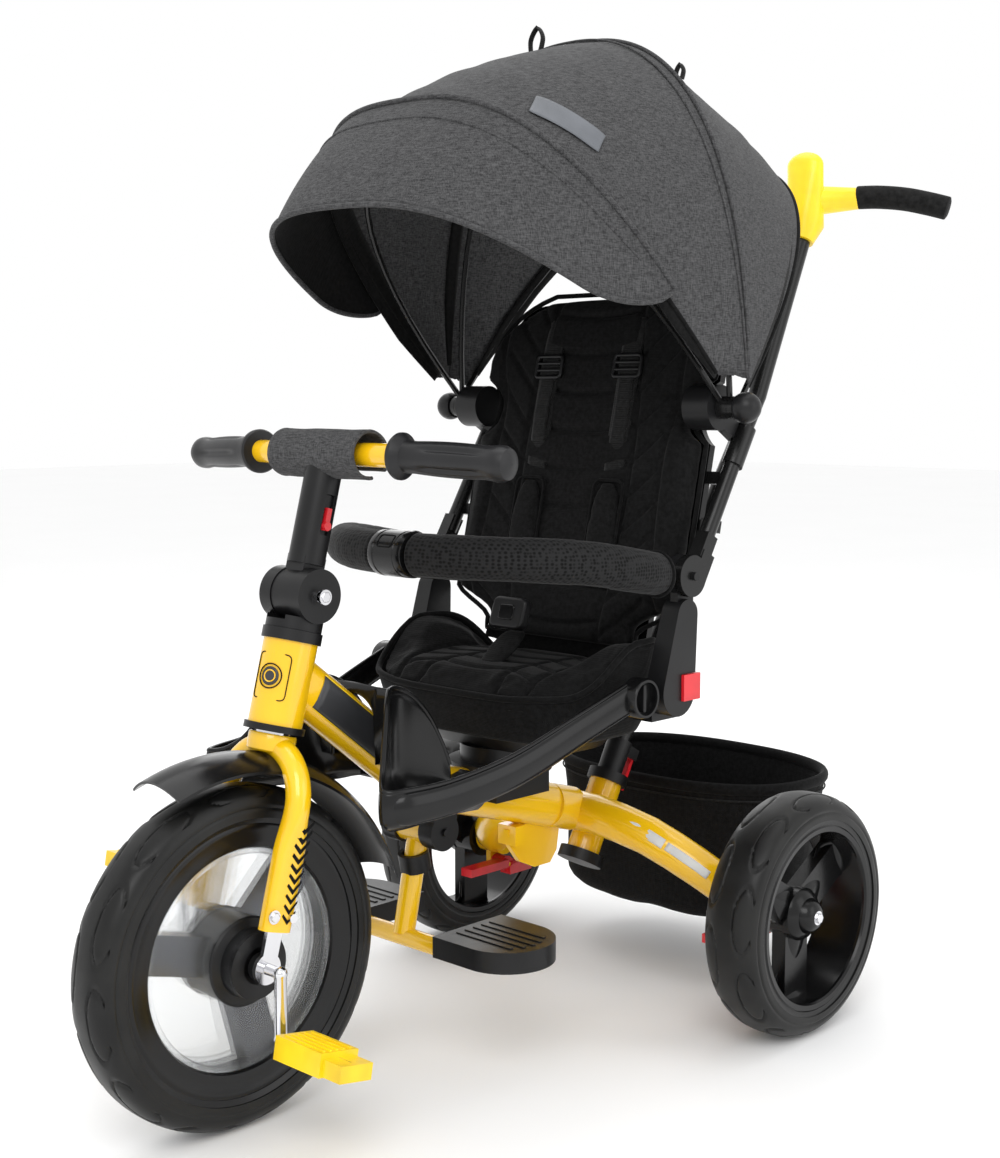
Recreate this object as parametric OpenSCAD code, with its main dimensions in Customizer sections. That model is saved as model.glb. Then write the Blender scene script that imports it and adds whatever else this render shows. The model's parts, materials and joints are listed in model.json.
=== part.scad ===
// Children's tricycle with a steering front wheel, a reclining padded seat,
// a folding canopy, a footrest, a rear basket and a parent's push handle.
// The tricycle faces -Y, +Z is up and +X is the rider's left.

/* [Wheels] */
// Diameter of the front wheel
front_wheel_d = 300; // [292:1:304]
// Width of the front tyre
front_tyre_w = 53; // [48:1:54]
// Diameter of each rear wheel
rear_wheel_d = 241; // [236:1:244]
// Width of each rear tyre
rear_tyre_w = 60; // [54:1:60]
// Distance between the middle planes of the rear wheels
track = 460; // [460:1:480]
// Distance from the front axle back to the rear axle
wheelbase = 520; // [520:1:524]

/* [Steering] */
// Backward lean of the steering axis, in degrees
rake = 15; // [14.5:0.1:15.5]
// Distance along the steering axis from the front axle to the handlebar
bar_height = 445; // [440:1:455]
// Overall width of the handlebar, over its grips
bar_span = 416; // [400:1:430]
// Length of each pedal crank
crank_len = 57; // [52:1:58]

/* [Seat and canopy] */
// Backward lean of the canopy's side tubes, in degrees
recline = 31; // [30.5:0.5:31.5]
// Backward lean of the padded backrest, in degrees
back_lean = 13; // [12.5:0.5:13.5]
// Width of the padded backrest
back_w = 310; // [300:1:312]
// Radius of the canopy's roof about its hinge line
canopy_r = 366; // [364:1:372]
// Half width of the canopy at its hinges
canopy_half_w = 204; // [203:0.5:206]

/* [Basket] */
// Width of the basket
basket_w = 316; // [290:1:320]
// Height of the basket
basket_h = 148; // [130:1:150]

/* [Hidden] */
$fn = 48;
front_r = front_wheel_d / 2;
rear_r = rear_wheel_d / 2;
half_track = track / 2;
// The rear axle stands behind the middle of the tricycle's whole length
rear_reach = 426.9;
rear_axle_y = (wheelbase + front_r - rear_reach) / 2;
run_gap = 0.05;
joint_extra = 0.1;
axle_r = 5;
crank_r = 5.4;

// Colours
yellow = [0.98, 0.72, 0.02];
black = [0.06, 0.06, 0.065];
soft_black = [0.09, 0.09, 0.095];
dark_grey = [0.16, 0.16, 0.17];
melange = [0.3, 0.3, 0.31];
chrome = [0.78, 0.78, 0.8];
red = [0.8, 0.05, 0.08];
clear = [0.85, 0.88, 0.9, 0.35];

// Places along the steering axis, from the front axle
crown_s = 134;
crown_arch_r = 50;
leg_r = 11;
leg_end_s = 32;
head_low_s = 202;
head_high_s = 276;
head_r = 24;
steerer_r = 15;
steerer_top = 292;
knuckle_s = 318;
stem_r = 16.5;
fender_r = 197.2;
bar_r = 10.5;
grip_r = 14;
tongue_half = 12;

// Seat pivots, from the rear axle
pivot_y = -108;
pivot_z = 461;
pin_r = 4;
ear_r = 20;
brake_y = 2;
brake_z = 92;
brake_pin_r = 2.5;

// Canopy hinge in the side tubes' own frame
hinge_y = -36;
hinge_z = 163;
hinge_pin_r = 5;
arch_power = 2.3;
front_bow_a = 44;
mid_bow_a = 87;
rear_bow_a = 128;
visor_a = 25;

// Footrest pivot, from the rear axle
foot_y = -295;
foot_z = 222;

// Push handle: the receiver's foot, its lean and the tube's own places
post_foot = [0, -61.5, 143.5];
post_lean = 28.8;
handle_r = 11;
post_top = 134;
slide_len = 50;
lever_y = 19.5;
lever_z = 126;
lever_pin_r = 1.5;

// ---- Frames ----

// Moves parts given from the rear axle into the tricycle's own frame
module placed() {
    translate([0, rear_axle_y, 0])
        children();
}

// The steering frame: its origin is the front axle, its Z the steering axis
module steered() {
    placed()
        translate([0, -wheelbase, front_r])
            rotate([-rake, 0, 0])
                children();
}

// The backrest's frame: its origin is the recline pivot, its Z runs up the pad
module backed() {
    placed()
        translate([0, pivot_y, pivot_z])
            rotate([-back_lean, 0, 0])
                children();
}

// The side tubes' frame: its origin is the recline pivot, its Z runs up them
module reclined() {
    placed()
        translate([0, pivot_y, pivot_z])
            rotate([-recline, 0, 0])
                children();
}

// The canopy's frame: its origin is the hinge line, and its axes stay level
module at_canopy() {
    reclined()
        translate([0, hinge_y, hinge_z])
            rotate([recline, 0, 0])
                children();
}

// The push handle's frame: its Z runs up the receiver
module at_post() {
    placed()
        translate(post_foot)
            rotate([-post_lean, 0, 0])
                children();
}

// ---- Shared shapes ----

// A round bar along X
module bar_x(x0, x1, r) {
    translate([x0, 0, 0])
        rotate([0, 90, 0])
            cylinder(h = x1 - x0, r = r);
}

// A shape turned about X from an outline of [radius, place along X]
module turned_x() {
    rotate([0, 90, 0])
        rotate_extrude($fn = 96)
            children();
}

// A straight rod between two points
module rod(a, b, r) {
    v = b - a;
    translate(a)
        rotate([0, acos(v[2] / norm(v)), atan2(v[1], v[0])])
            cylinder(h = norm(v), r = r);
}

// Straight rods through a list of points, joined by slightly larger balls
module run(points, r) {
    for (i = [1 : len(points) - 1])
        rod(points[i - 1], points[i], r);
    for (i = [1 : len(points) - 2])
        translate(points[i])
            sphere(r = r + joint_extra);
}

// A bar swept through points that never run along up; radii holds one per point
module sweep(points, radii, up, sides) {
    last = len(points) - 1;
    rings = [for (i = [0 : last])
        let (along = points[min(i + 1, last)] - points[max(i - 1, 0)],
            n = cross(along, up) / norm(cross(along, up)),
            b = cross(n, along) / norm(along))
        for (k = [0 : sides - 1])
            points[i] + radii[i] * (cos(360 * k / sides) * n + sin(360 * k / sides) * b)];
    sleeve = [for (i = [0 : last - 1])
        for (k = [0 : sides - 1])
            let (next = (k + 1) % sides)
            [i * sides + k, i * sides + next, (i + 1) * sides + next, (i + 1) * sides + k]];
    ends = [[for (k = [sides - 1 : -1 : 0]) k],
        [for (k = [0 : sides - 1]) last * sides + k]];
    polyhedron(rings, concat(sleeve, ends));
}

// A flattened tube between two points in the middle plane
module oval_tube(a, b, r, tall) {
    v = b - a;
    translate(a)
        rotate([-atan2(v[1], v[2]), 0, 0])
            linear_extrude(norm(v))
                oval(r, tall);
}

// An upright oval outline: round ends of radius r, tall overall
module oval(r, tall) {
    half = tall / 2 - r;
    square([2 * r, 2 * half], center = true);
    for (s = [-1, 1])
        translate([0, s * half])
            circle(r = r);
}

// A wall over a chain of posts, each given as [x, y, low z, high z]
module wall(posts, t) {
    for (i = [1 : len(posts) - 1])
        hull()
            for (p = [posts[i - 1], posts[i]])
                translate([p[0], p[1], p[2]])
                    cylinder(h = p[3] - p[2], d = t, $fn = 10);
}

// Mirrors a left-hand part to make the pair
module both_sides() {
    children();
    mirror([1, 0, 0])
        children();
}

// Points [radius, x] round the canopy's arch, from one hinge to the other
function arch_points(half_w, top_r, low_r) =
    let (t0 = asin(pow(low_r / top_r, arch_power / 2)), steps = 28)
    [for (i = [0 : steps])
        let (t = t0 + (180 - 2 * t0) * i / steps)
        [top_r * pow(sin(t), 2 / arch_power),
         half_w * sign(cos(t)) * pow(abs(cos(t)), 2 / arch_power)]];

// A canopy skin between two bow angles
module canopy_skin(from_a, to_a, half_w, top_r, t) {
    outer = arch_points(half_w, top_r, 26);
    inner = arch_points(half_w - t, top_r - t, 26);
    rotate([90, 0, -90])
        rotate([0, 0, from_a])
            rotate_extrude(angle = to_a - from_a, $fn = 96)
                polygon(concat(outer, [for (i = [len(inner) - 1 : -1 : 0]) inner[i]]));
}

// A canopy bow of round wire with an eye at each hinge
module bow(a, half_w, eye_x0, eye_x1) {
    pts = arch_points(half_w, canopy_r - 28, 8);
    difference() {
        sweep([for (p = pts) [p[1], -p[0] * cos(a), p[0] * sin(a)]],
            [for (p = pts) wire_r], [0, sin(a), cos(a)], 8);
        both_sides()
            bar_x(eye_x0, eye_x1, 11);
    }
    both_sides()
        difference() {
            bar_x(eye_x0, eye_x1, 11);
            bar_x(eye_x0 - 1, eye_x1 + 1, hinge_pin_r + run_gap);
        }
}

// A round tyre's outline of [radius, x]
function tyre_points(r, seat_r, w) =
    [for (i = [0 : 24])
        let (t = -90 + 180 * i / 24)
        [seat_r + (r - seat_r) * pow(cos(t), 0.62),
         w / 2 * sign(t) * pow(abs(sin(t)), 0.8)]];

// ---- Frame ----

module head_tube() {
    color(yellow)
        steered()
            translate([0, 0, head_low_s])
                difference() {
                    cylinder(h = head_high_s - head_low_s, r = head_r);
                    translate([0, 0, -1])
                        cylinder(h = 100, r = 20);
                }
}

module head_rings() {
    color(black)
        steered() {
            translate([0, 0, head_low_s - 6])
                head_ring(27, 6, 6);
            translate([0, 0, head_high_s])
                head_ring(26.5, 10, -22);
        }
}

// A bearing ring with a sleeve, from sleeve_z up, that lines the head tube
module head_ring(r, thick, sleeve_z) {
    difference() {
        union() {
            cylinder(h = thick, r = r);
            translate([0, 0, sleeve_z])
                cylinder(h = 22, r = 20);
        }
        translate([0, 0, -30])
            cylinder(h = 70, r = steerer_r + run_gap);
    }
}

// The main tube is tall and narrow, and bends under the foot tray
module down_tube() {
    head = [0, -457.5, 390.6];
    knee = [0, -292, 262];
    tail = [0, -100, 207];
    color(yellow)
        placed()
            difference() {
                union() {
                    oval_tube(head, knee, 19, 48);
                    oval_tube(knee, tail, 19, 46);
                    translate(knee)
                        for (s = [-1, 1])
                            translate([0, s * 1.3, s * 4.2])
                                sphere(r = 19);
                }
                translate([0, -wheelbase, front_r])
                    rotate([-rake, 0, 0])
                        translate([0, 0, 170])
                            cylinder(h = 160, r = head_r);
            }
}

// The beam arches from the main tube down to the rear wheels
module rear_beam() {
    half = [[30, -69, 197.5], [58, -64, 192], [90, -58, 183.5], [118, -51, 171],
        [142, -42, 157], [160, -31, 143], [172, -18, 131], [180, -4, 123]];
    color(yellow)
        placed()
            difference() {
                union() {
                    sweep(concat([for (i = [7 : -1 : 0]) [-half[i][0], half[i][1], half[i][2]]],
                        half), [for (i = [0 : 15]) 21 - abs(i - 7.5) / 3], [0, 0, 1], 24);
                    translate([0, -100, 207])
                        rotate([-106, 0, 0])
                            translate([0, 0, -14])
                                cylinder(h = 36, r = 23);
                    both_sides()
                        beam_end();
                    gusset();
                }
                translate(post_foot)
                    rotate([-post_lean, 0, 0])
                        translate([0, 0, -60])
                            cylinder(h = 220, r = 17.5);
                translate([0, 0, rear_r])
                    both_sides()
                        bar_x(150, 220, axle_r);
            }
}

// The boss that holds the stub axle, with the brake pedal's lug and its pin
module beam_end() {
    translate([0, 0, rear_r])
        bar_x(168, 199, 17);
    translate([185.2, brake_y - 9, brake_z - 6])
        cube([6.8, 18, 24]);
    translate([0, brake_y, brake_z])
        bar_x(164, 188, brake_pin_r);
}

// The plate that hangs under the beam's front end, with its front lug
module gusset() {
    translate([-3, 0, 0])
        rotate([90, 0, 90])
            linear_extrude(6)
                polygon([[-176, 196], [-172, 178], [-158, 160], [-136, 150], [-112, 150],
                    [-102, 162], [-96, 200]]);
    translate([-12, -174, 180])
        cube([24, 14, 20]);
}

module rear_axles() {
    color(chrome)
        placed()
            translate([0, 0, rear_r])
                both_sides() {
                    bar_x(160, half_track + 24, axle_r);
                    bar_x(half_track + 18.4, half_track + 26, 8);
                    bar_x(199, 200.4, 11);
                }
}

module handle_receiver() {
    color(yellow)
        at_post()
            difference() {
                translate([0, 0, 8])
                    cylinder(h = 78, r = 17.5);
                translate([0, 0, -1])
                    cylinder(h = 100, r = 13.5);
            }
}

// The black post, its collar, its foot cap and the lever's lugs and pin
module receiver_post() {
    color(black)
        at_post() {
            difference() {
                union() {
                    translate([0, 0, 8])
                        cylinder(h = post_top - 8, r = 13.5);
                    translate([0, 0, 86])
                        cylinder(h = 11, r = 21.5);
                    both_sides()
                        translate([7.4, 4, lever_z - 6])
                            cube([3.4, 20, 12]);
                }
                translate([0, 0, 12])
                    cylinder(h = 140, r = handle_r + run_gap);
            }
            translate([0, 0, -4])
                cylinder(h = 12, r = 24);
            translate([0, lever_y, lever_z])
                bar_x(-10, 10, lever_pin_r);
        }
}

// ---- Basket ----

basket_y = 128;
basket_d = 208;
basket_floor = 71;
basket_wall = 3;

// An oval outline that fills a box
function oval_points(w, d, n) =
    [for (i = [0 : 47])
        let (t = 360 * i / 48)
        [w / 2 * sign(cos(t)) * pow(abs(cos(t)), 2 / n),
         d / 2 * sign(sin(t)) * pow(abs(sin(t)), 2 / n)]];

module basket() {
    color(soft_black)
        placed()
            translate([0, basket_y, basket_floor])
                difference() {
                    linear_extrude(basket_h)
                        polygon(oval_points(basket_w, basket_d, 2.4));
                    translate([0, 0, basket_wall])
                        linear_extrude(basket_h)
                            polygon(oval_points(basket_w - 2 * basket_wall,
                                basket_d - 2 * basket_wall, 2.4));
                }
}

// ---- Foot tray ----

arm_x = 175;
arm_y = -176;
arm_z = 352;

module foot_tray() {
    color(black)
        placed() {
            both_sides() {
                // The rim from the well's front corner up along the seat
                wall([[124, -447, 273, 301], [136, -400, 275, 303],
                    [150, -318, 288, 318], [arm_x - 7, arm_y, 338, 366]], 7);
                // The front of the well, which climbs to the hump
                wall([[124, -447, 273, 301], [88, -418, 272, 332],
                    [47, -374, 272, 371]], 6);
                // The hump's flank beside the main tube
                wall([[47, -374, 272, 371], [48, -330, 270, 345],
                    [46, -300, 268, 290]], 5);
                // The well's floor
                translate([0, 0, 268])
                    linear_extrude(5)
                        polygon([[44, -374], [88, -420], [124, -449], [138, -400],
                            [146, -330], [60, -250], [44, -250]]);
                // The round cap on the arm
                translate([0, arm_y, arm_z])
                    bar_x(arm_x - 12, arm_x + 6, 19);
            }
            // The hump's top, which bridges the main tube
            translate([-47, -377, 366])
                cube([94, 6, 5]);
            hump_front();
            // The ledge that joins the wells behind the hump
            translate([-46, -262, 268])
                cube([92, 14, 5]);
        }
}

// The hump's front wall, with the arch that the main tube passes through
module hump_front() {
    translate([0, -371, 0])
        rotate([90, 0, 0])
            linear_extrude(5)
                difference() {
                    translate([-47, 300])
                        square([94, 68]);
                    translate([0, 332])
                        circle(r = 30);
                    translate([-30, 290])
                        square([60, 42]);
                }
}

// ---- Seat ----

// The turntable on the main tube that carries the seat
module seat_mount() {
    color(dark_grey)
        placed() {
            translate([0, -184, 262])
                cylinder(h = 10, r = 52);
            translate([0, -184, 272])
                cylinder(h = 16, r = 40);
            translate([-32, -222, 236])
                cube([64, 76, 26]);
        }
}

module seat_shell() {
    color(black)
        placed()
            hull() {
                translate([0, -158, 288])
                    linear_extrude(8)
                        polygon(oval_points(180, 120, 3));
                translate([0, -166, 338])
                    linear_extrude(8)
                        polygon(oval_points(280, 180, 3.2));
            }
}

// The cushion lies on the shell and climbs at both sides
module seat_cushion() {
    color(soft_black)
        placed() {
            translate([0, -166, 346.2])
                linear_extrude(16)
                    polygon(oval_points(300, 184, 3.2));
            both_sides()
                hull() {
                    translate([112, -206, 347])
                        cube([28, 110, 12]);
                    translate([138, -154, 388])
                        cube([10, 50, 8]);
                }
        }
}

// The brackets carry the seat's sides, with the recline pivots at the top
module side_brackets() {
    color(black)
        placed()
            both_sides() {
                difference() {
                    hull() {
                        translate([156, -124, 352])
                            bar_x(0, 22, 24);
                        translate([158, -112, 424])
                            bar_x(0, 20, 15);
                    }
                    translate([170, -121, 342])
                        cube([20, 26, 26]);
                }
                translate([163, pivot_y, 430])
                    translate([0, -12, 0])
                        cube([8.7, 24, 20]);
                translate([0, pivot_y, pivot_z]) {
                    bar_x(163, 171.7, ear_r);
                    bar_x(148, 185, pin_r);
                }
                // The arm from the bracket's foot in under the shell
                translate([96, -140, 322])
                    cube([62, 40, 16]);
            }
}

// The strap between the legs, its pad and the buckle
module crotch_strap() {
    color(soft_black)
        placed() {
            translate([-14, -222, 362.4])
                cube([28, 70, 3]);
            hull() {
                translate([-20, -206, 365.6])
                    cube([40, 4, 4]);
                translate([-20, -160, 392])
                    cube([40, 8, 6]);
            }
            translate([-24, -176, 398.2])
                cube([48, 14, 34]);
        }
}

module footrest_block() {
    color(black)
        placed()
            difference() {
                union() {
                    translate([0, foot_y, foot_z])
                        both_sides()
                            bar_x(17, 35, 18);
                    translate([-35, foot_y - 14, foot_z + 10])
                        cube([70, 30, 20]);
                    translate([0, foot_y, foot_z])
                        bar_x(-38, 38, pin_r);
                }
                translate([0, foot_y, foot_z])
                    difference() {
                        bar_x(-17, 17, 19.5);
                        bar_x(-18, 18, pin_r);
                    }
            }
}

// ---- Steering ----

module steerer() {
    color(chrome)
        steered()
            translate([0, 0, 190])
                cylinder(h = steerer_top - 190, r = steerer_r);
}

module fork() {
    color(yellow)
        steered() {
            translate([0, 0, 178])
                cylinder(h = 16, r = 21);
            translate([0, 0, crown_s])
                rotate([90, 0, 0])
                    rotate_extrude(angle = 180)
                        translate([crown_arch_r, 0])
                            circle(r = leg_r);
            both_sides() {
                translate([crown_arch_r, 0, 104])
                    cylinder(h = crown_s - 104, r = leg_r);
                translate([crown_arch_r, 0, 104])
                    sphere(r = leg_r);
                translate([crown_arch_r, 0, leg_end_s])
                    linear_extrude(78)
                        oval(8, 30);
            }
        }
}

// Chrome dropout plates and their bolts, the knuckle's pin and its nuts
module steering_bolts() {
    color(chrome)
        steered() {
            both_sides() {
                difference() {
                    union() {
                        translate([crown_arch_r - 2, 0, 0])
                            bar_x(0, 4, 13.5);
                        translate([crown_arch_r - 2, -8, 6])
                            cube([4, 16, 26]);
                    }
                    bar_x(crown_arch_r - 3, crown_arch_r + 3, axle_r + run_gap);
                }
                for (y = [-10, 10])
                    translate([0, y, 45])
                        bar_x(crown_arch_r + 8, crown_arch_r + 11, 4);
            }
            translate([0, 0, knuckle_s]) {
                bar_x(-28, 28, pin_r);
                both_sides()
                    bar_x(27, 30, 6);
            }
        }
}

// The fender's arc is centred a little below and ahead of the axle
module fender() {
    outer = [for (i = [-6 : 6]) [fender_r - 13 * pow(i / 6, 2), 33 * i / 6]];
    inner = [for (i = [6 : -1 : -6]) [fender_r - 2.5 - 13 * pow(i / 6, 2), 33 * i / 6]];
    color(black)
        placed()
            translate([0, -wheelbase - 7, front_r - 18.5])
                rotate([90, 0, -90])
                    rotate([0, 0, 69])
                        rotate_extrude(angle = 92, $fn = 96)
                            polygon(concat(outer, inner));
}

// The lower half of the folding knuckle: a foot ring and two round ears
module stem_knuckle() {
    color(black)
        steered()
            difference() {
                union() {
                    translate([0, 0, head_high_s + 10.3])
                        cylinder(h = 11, r = 25);
                    both_sides()
                        translate([0, 0, knuckle_s])
                            bar_x(tongue_half + 0.3, 27, 24);
                }
                translate([-tongue_half - 0.3, -40, head_high_s + 17.3])
                    cube([2 * tongue_half + 0.6, 80, 80]);
                translate([0, 0, 200])
                    cylinder(h = steerer_top - 200, r = steerer_r);
                translate([0, 0, knuckle_s])
                    bar_x(-34, 34, pin_r);
            }
}

// The upper half: a tongue between the ears and the tube up to the bar
module stem() {
    color(black)
        steered()
            difference() {
                union() {
                    translate([0, 0, knuckle_s])
                        bar_x(-tongue_half, tongue_half, 23);
                    translate([-tongue_half, -12, knuckle_s])
                        cube([2 * tongue_half, 24, 34]);
                    translate([0, 0, knuckle_s + 27])
                        cylinder(h = bar_height - knuckle_s - 27, r = stem_r);
                }
                translate([0, 0, knuckle_s])
                    bar_x(-20, 20, pin_r + run_gap);
                translate([0, 0, bar_height])
                    bar_x(-30, 30, bar_r);
                translate([stem_r - 3, -4.4, 372])
                    cube([10, 8.8, 36]);
            }
}

module handlebar() {
    color(yellow)
        steered()
            sweep([[-bar_span / 2 + 3, 17, bar_height], [-92, 0, bar_height],
                [92, 0, bar_height], [bar_span / 2 - 3, 17, bar_height]],
                [for (i = [1 : 4]) bar_r], [0, 0, 1], 48);
}

// Each grip has a flange at its inner end and a rounded outer end
module handlebar_grips() {
    lean = atan2(17, bar_span / 2 - 95);
    color(black)
        steered()
            both_sides()
                translate([92, 0, bar_height])
                    rotate([0, 90, lean])
                        rotate_extrude()
                            polygon([[bar_r, 1], [20, 1], [20, 7], [grip_r, 12],
                                [grip_r, 106], [grip_r - 2, 112], [grip_r - 7, 116.6],
                                [0, 118], [0, 115.6], [bar_r, 115.6]]);
}

// The padded wrap round the middle of the bar
module bar_pad() {
    color(melange)
        steered()
            translate([0, 0, bar_height])
                difference() {
                    bar_x(-57, 57, 21);
                    bar_x(-60, 60, bar_r);
                    translate([0, 0, -60])
                        cylinder(h = 60, r = stem_r + 0.3);
                }
}

module stem_button() {
    color(red)
        steered() {
            translate([stem_r - 2.6, -2.5, 376])
                cube([4.6, 5, 20]);
            translate([0, 0, 380])
                bar_x(stem_r - 2.6, stem_r + 3.4, 3.9);
        }
}

// ---- Front wheel ----

front_seat_r = 124;
front_disc_r = 97;

module front_tyre() {
    color(black)
        steered()
            turned_x()
                polygon(tyre_points(front_r, front_seat_r, front_tyre_w));
}

module front_rim() {
    color(black)
        steered()
            turned_x()
                polygon([[front_disc_r, -16], [front_seat_r, -24], [front_seat_r, 24],
                    [front_disc_r, 16]]);
}

// Two clear covers close the wheel's sides
module front_disc() {
    color(clear)
        steered()
            both_sides()
                turned_x()
                    polygon([[front_disc_r, 12], [front_disc_r, 14], [60, 19],
                        [38, 22], [38, 20], [60, 17]]);
}

// Three wide spokes between the covers
module front_spokes() {
    color(dark_grey)
        steered()
            difference() {
                for (a = [90, 210, 330])
                    rotate([a, 0, 0])
                        translate([-11, -17, 30])
                            cube([22, 34, front_disc_r - 30]);
                difference() {
                    bar_x(-30, 30, 140);
                    bar_x(-31, 31, front_disc_r);
                }
                bar_x(-31, 31, 38);
            }
}

module front_hub() {
    color(black)
        steered()
            difference() {
                union() {
                    bar_x(-24, 24, 38);
                    bar_x(-40, 40, 29);
                    bar_x(-47.4, 47.4, 12);
                }
                bar_x(-60, 60, axle_r);
            }
}

pedal_x0 = 84;
pedal_x1 = 164;
crank_x = 68;

// One bent bar makes the axle, both cranks and both pedal spindles
module crank_axle() {
    color(chrome)
        placed()
            translate([0, -wheelbase, front_r]) {
                bar_x(-crank_x, crank_x, axle_r);
                for (s = [-1, 1]) {
                    rod([s * crank_x, 0, 0], [s * crank_x, 0, -s * crank_len], crank_r);
                    for (z = [0, -s * crank_len])
                        translate([s * crank_x, 0, z])
                            sphere(r = crank_r + 0.8);
                }
                translate([0, 0, -crank_len])
                    bar_x(crank_x, pedal_x1 - 8, axle_r);
                translate([0, 0, crank_len])
                    bar_x(8 - pedal_x1, -crank_x, axle_r);
            }
}

// A wedge-ended block that turns on the crank's spindle
module pedal() {
    difference() {
        rotate([-10, 0, 0])
            translate([pedal_x0, -20, -10])
                union() {
                    cube([58, 40, 20]);
                    translate([58, 0, 0])
                        rotate([90, 0, 90])
                            linear_extrude(pedal_x1 - pedal_x0 - 58)
                                polygon([[3, 1], [37, 1], [37, 15], [3, 15]]);
                }
        bar_x(pedal_x0 - 5, pedal_x1 - 7.5, axle_r + run_gap);
    }
}

module pedal_left() {
    color(yellow)
        placed()
            translate([0, -wheelbase, front_r - crank_len])
                pedal();
}

module pedal_right() {
    color(yellow)
        placed()
            translate([0, -wheelbase, front_r + crank_len])
                mirror([1, 0, 0])
                    pedal();
}

// ---- Rear wheels ----

rear_seat_r = 97;
rear_open_r = 85;

module rear_tyre() {
    color(black)
        turned_x()
            polygon(tyre_points(rear_r, rear_seat_r, rear_tyre_w));
}

// A deep dished rim with three wide spokes and a domed hub, outer face +X
module rear_rim() {
    color(black)
        difference() {
            union() {
                difference() {
                    bar_x(-27, 27, rear_seat_r);
                    bar_x(-28, 28, rear_open_r);
                }
                for (a = [60, 180, 300])
                    rotate([a, 0, 0])
                        translate([-14, -19, 14])
                            cube([16, 38, rear_open_r - 9]);
                bar_x(-28, 10, 25);
                bar_x(10, 18, 15);
            }
            bar_x(-40, 40, axle_r + run_gap);
        }
}

module at_rear_wheel(side) {
    placed()
        translate([side * half_track, 0, rear_r])
            rotate([0, 0, side > 0 ? 0 : 180])
                children();
}

module rear_tyre_left() { at_rear_wheel(1) rear_tyre(); }

module rear_tyre_right() { at_rear_wheel(-1) rear_tyre(); }

module rear_rim_left() { at_rear_wheel(1) rear_rim(); }

module rear_rim_right() { at_rear_wheel(-1) rear_rim(); }

// The foot pedal that brakes one rear wheel
module brake_pedal() {
    color(red)
        placed()
            translate([0, brake_y, brake_z])
                difference() {
                    union() {
                        bar_x(167, 184.9, 9);
                        translate([162, -64, -3])
                            cube([16, 62, 9]);
                        translate([162, 0, -12])
                            cube([16, 36, 12]);
                    }
                    bar_x(150, 200, brake_pin_r + run_gap);
                }
}

module brake_pedal_left() { brake_pedal(); }

module brake_pedal_right() { mirror([1, 0, 0]) brake_pedal(); }

// ---- Footrest ----

module footrest_tube() {
    color(yellow)
        placed() {
            difference() {
                union() {
                    rod([0, foot_y, foot_z], [0, -316, 122], 10.5);
                    translate([0, foot_y, foot_z])
                        bar_x(-16.7, 16.7, 15.5);
                    translate([0, -316, 119])
                        bar_x(-78, 78, 9);
                }
                translate([0, foot_y, foot_z])
                    bar_x(-20, 20, pin_r + run_gap);
            }
        }
}

// Rounded foot plates at the ends of the cross tube, and the clamp ring
module footrest_plates() {
    color(black)
        placed() {
            both_sides() {
                difference() {
                    translate([0, -284, 114])
                        linear_extrude(20) {
                            translate([104, 0])
                                circle(r = 46);
                            translate([54, -46])
                                square([50, 92]);
                        }
                    translate([0, -316, 119])
                        bar_x(40, 78, 9);
                }
            }
            translate([0, -301.5, 190])
                rotate([11.9, 0, 0])
                    translate([0, 0, -9])
                        difference() {
                            cylinder(h = 18, r = 15);
                            translate([0, 0, -1])
                                cylinder(h = 20, r = 10.7);
                        }
        }
}

// ---- Guard bar ----

module guard_bar() {
    half = [[21, -209.5, 24], [60, -202, 24], [90, -191, 24], [114, -176, 23.5],
        [134, -158, 22.5], [150, -135, 20.5], [160, -112, 17.5], [165, -86, 12.5],
        [166, -58, 7.5], [164, -34, 3.5]];
    color(soft_black)
        placed()
            translate([0, pivot_y, pivot_z])
                both_sides()
                    difference() {
                        union() {
                            sweep(half, [for (p = half) 20.5], [0, 0, 1], 20);
                            bar_x(151, 162.7, 14);
                            translate([151.4, -52, -6])
                                cube([9, 44, 14]);
                        }
                        bar_x(140, 170, pin_r + run_gap);
                    }
}

// The catch that joins the bar's two halves
module guard_clasp() {
    color(black)
        placed()
            translate([0, pivot_y - 210.5, pivot_z + 24])
                bar_x(-22, 22, 21.5);
}

// ---- Recline buttons ----

module recline_button() {
    color(red)
        placed()
            translate([174.6, -120.6, 342.4])
                cube([6.4, 25.2, 25.2]);
}

module recline_button_left() { recline_button(); }

module recline_button_right() { mirror([1, 0, 0]) recline_button(); }

// ---- Backrest ----

back_low = -84;
back_top = 291;
notch_y = 166;

// The padded part's outline, cut away round the canopy hinges
module back_outline(inset) {
    half = back_w / 2 - inset;
    difference() {
        union() {
            translate([-half, -30 + inset])
                square([2 * half, back_top - 20 - 2 * inset]);
            translate([-half + 50, back_top - 90])
                square([2 * half - 100, 90 - inset]);
            both_sides()
                translate([half - 50, back_top - 50 - inset])
                    circle(r = 50);
            translate([-104, back_low + inset])
                square([208, 80]);
        }
        both_sides()
            translate([168, notch_y])
                circle(r = 34 + inset / 2);
    }
}

module back_shell() {
    color(black)
        backed()
            translate([0, 48, 0])
                rotate([90, 0, 0])
                    linear_extrude(7.8)
                        back_outline(8);
}

module back_pad() {
    color(soft_black)
        backed()
            translate([0, 40, 0])
                rotate([90, 0, 0])
                    linear_extrude(26)
                        back_outline(0);
}

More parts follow.
